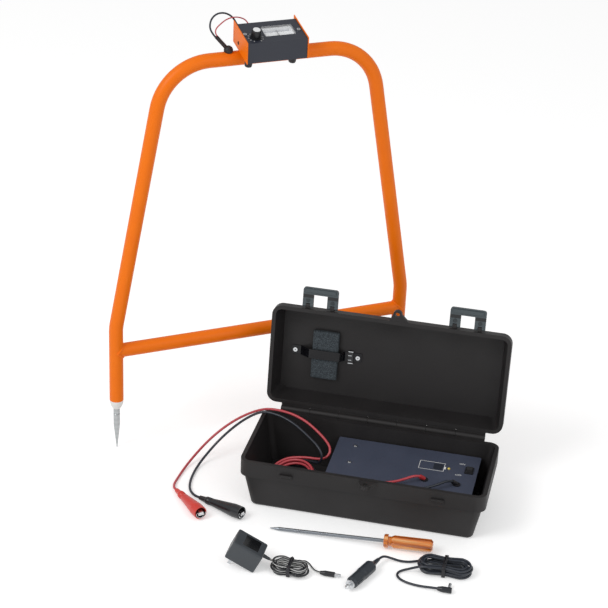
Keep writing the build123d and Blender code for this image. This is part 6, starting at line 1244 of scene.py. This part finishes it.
# %% Buckle bars and plug contacts
# Bright nickel plate: a warm mirror, a little softer than chrome.
nickel = grained("bright_nickel_plate", *NICKEL, 0.9, 0.02, (0.16, 0.28), METAL)
BUCKLE = [rectangle(-4.4, 10.4, 4.4, 11.7), rectangle(-4.4, -11.7, 4.4, -10.4),
          rectangle(-4.4, 3.0, 1.6, 4.0), rectangle(-4.4, -5.6, 1.6, -4.6)]
BUCKLE_HEIGHT, BAR_THICK = 2.9, 0.5
flat_piece("buckle_bars", BUCKLE, BAR_THICK, on_lid(BUCKLE_X, STRAP_V, STRAP_TOP + BUCKLE_HEIGHT), LID_PLANE,
           nickel, "lid")
LEAF = [(-6.6, -1.2), (-5.4, -1.9), (5.4, -1.9), (6.6, -1.2), (6.6, 1.2), (5.4, 1.9), (-5.4, 1.9),
        (-6.6, 1.2)]
LEAF_FROM_NOSE, LEAF_SIDE, LEAF_THICK = 18.0, 11.3, 0.3
car_side = Vector((car_heading.y, -car_heading.x, 0.0))
for name, way in (("right_plug_contact", 1), ("left_plug_contact", -1)):
    spot = CAR_NOSE + car_heading * LEAF_FROM_NOSE + car_side * (way * LEAF_SIDE)
    flat_piece(name, [LEAF], LEAF_THICK, spot, (car_heading * way, -Z), nickel, "vehicle_adapter")
print("buckle bars and two plug contacts")

# %% [markdown]
# ### The mains adapter's plate and blades
#
# The mains adapter rests on its blades and on one edge, so it is tilted. Its tilt follows from the length of
# the blades, and it is worked out again here, because the bare glossy plate on its top has to lie flush and
# the blades' finish starts at its underside.

# %% Adapter plate and blades
ADAPTER_HALF = Vector((27.5, 21.5, 18.5))
ADAPTER_X, ADAPTER_Y = -158.6, -255.6
BLADE_EDGE, EDGE_ROUND, BLADE_LENGTH = -11.325, 3.0, 17.0
rest_run = ADAPTER_HALF.x - EDGE_ROUND - BLADE_EDGE
rest_drop = BLADE_LENGTH + EDGE_ROUND
adapter_tilt = math.atan2(rest_drop, rest_run) - math.asin(EDGE_ROUND / math.hypot(rest_drop, rest_run))
adapter_height = (BLADE_EDGE * math.sin(adapter_tilt)
                  + (ADAPTER_HALF.z + BLADE_LENGTH) * math.cos(adapter_tilt))
adapter_along = Vector((math.cos(adapter_tilt), 0, -math.sin(adapter_tilt)))
adapter_up = Vector((math.sin(adapter_tilt), 0, math.cos(adapter_tilt)))
adapter_middle = Vector((ADAPTER_X, ADAPTER_Y, adapter_height))
# Varnished iron inside, nickel plate on the blades: dull brown, then bright metal.
dress(metal_beyond("iron_core_with_nickel_blades", ("#3b3430", "#54483e"),
                   adapter_middle - adapter_up * ADAPTER_HALF.z, -adapter_up, 0.3), "adapter_core")
# Gloss film: black, flat and far shinier than the shell round it.
plate_gloss = grained("glossy_black_label_film", "#0d0e10", "#16181b", 3.0, 0.01, (0.06, 0.14), {"IOR": 1.5})
PLATE_SINK, PLATE_THICK = 0.1, 0.3
flat_piece("adapter_label_plate", [rectangle(-11.5, -13.0, 16.5, 14.5)], PLATE_THICK,
           adapter_middle + adapter_up * (ADAPTER_HALF.z - PLATE_SINK), (adapter_along, Y), plate_gloss,
           "mains_adapter")
print("adapter tilted by", round(math.degrees(adapter_tilt), 1), "degrees")

# %% [markdown]
# ### A hood over the hinge
#
# The lid's edge wraps part of the way round the hinge barrels, so that no light shows between them. The hood
# is one thin band about the hinge line, as long as the seven barrels, and it rides on the lid. Three ledges
# of the back wall close the slots in front of the lid's own barrels. They belong to the case and stay there.

# %% Hinge hood and ledges
HINGE_END, BARREL_PITCH = 187.0, 53.514
HOOD = [(-186.9, 6.25), (186.9, 6.25), (186.9, 7.0), (-186.9, 7.0)]
HOOD_SWEEP, HOOD_STEPS = math.radians(-125), 14
place_piece("hinge_hood", turned_band(on_lid, HOOD, 0.0, HOOD_SWEEP, HOOD_STEPS), case_plastic, "lid")
LEDGE_LENGTH, LEDGE_FRONT, LEDGE_BACK, LEDGE_LOW, LEDGE_TALL = 52.9, 92.4, 96.9, 90.1, 5.2
starts = [-HINGE_END + BARREL_PITCH * barrel for barrel in (1, 3, 5)]
ledges = [rectangle(start, LEDGE_FRONT, start + LEDGE_LENGTH, LEDGE_BACK) for start in starts]
flat_piece("hinge_ledges", ledges, LEDGE_TALL, (0, 0, LEDGE_LOW), LEVEL, case_plastic, "case")
print("one hinge hood and", len(ledges), "ledges")
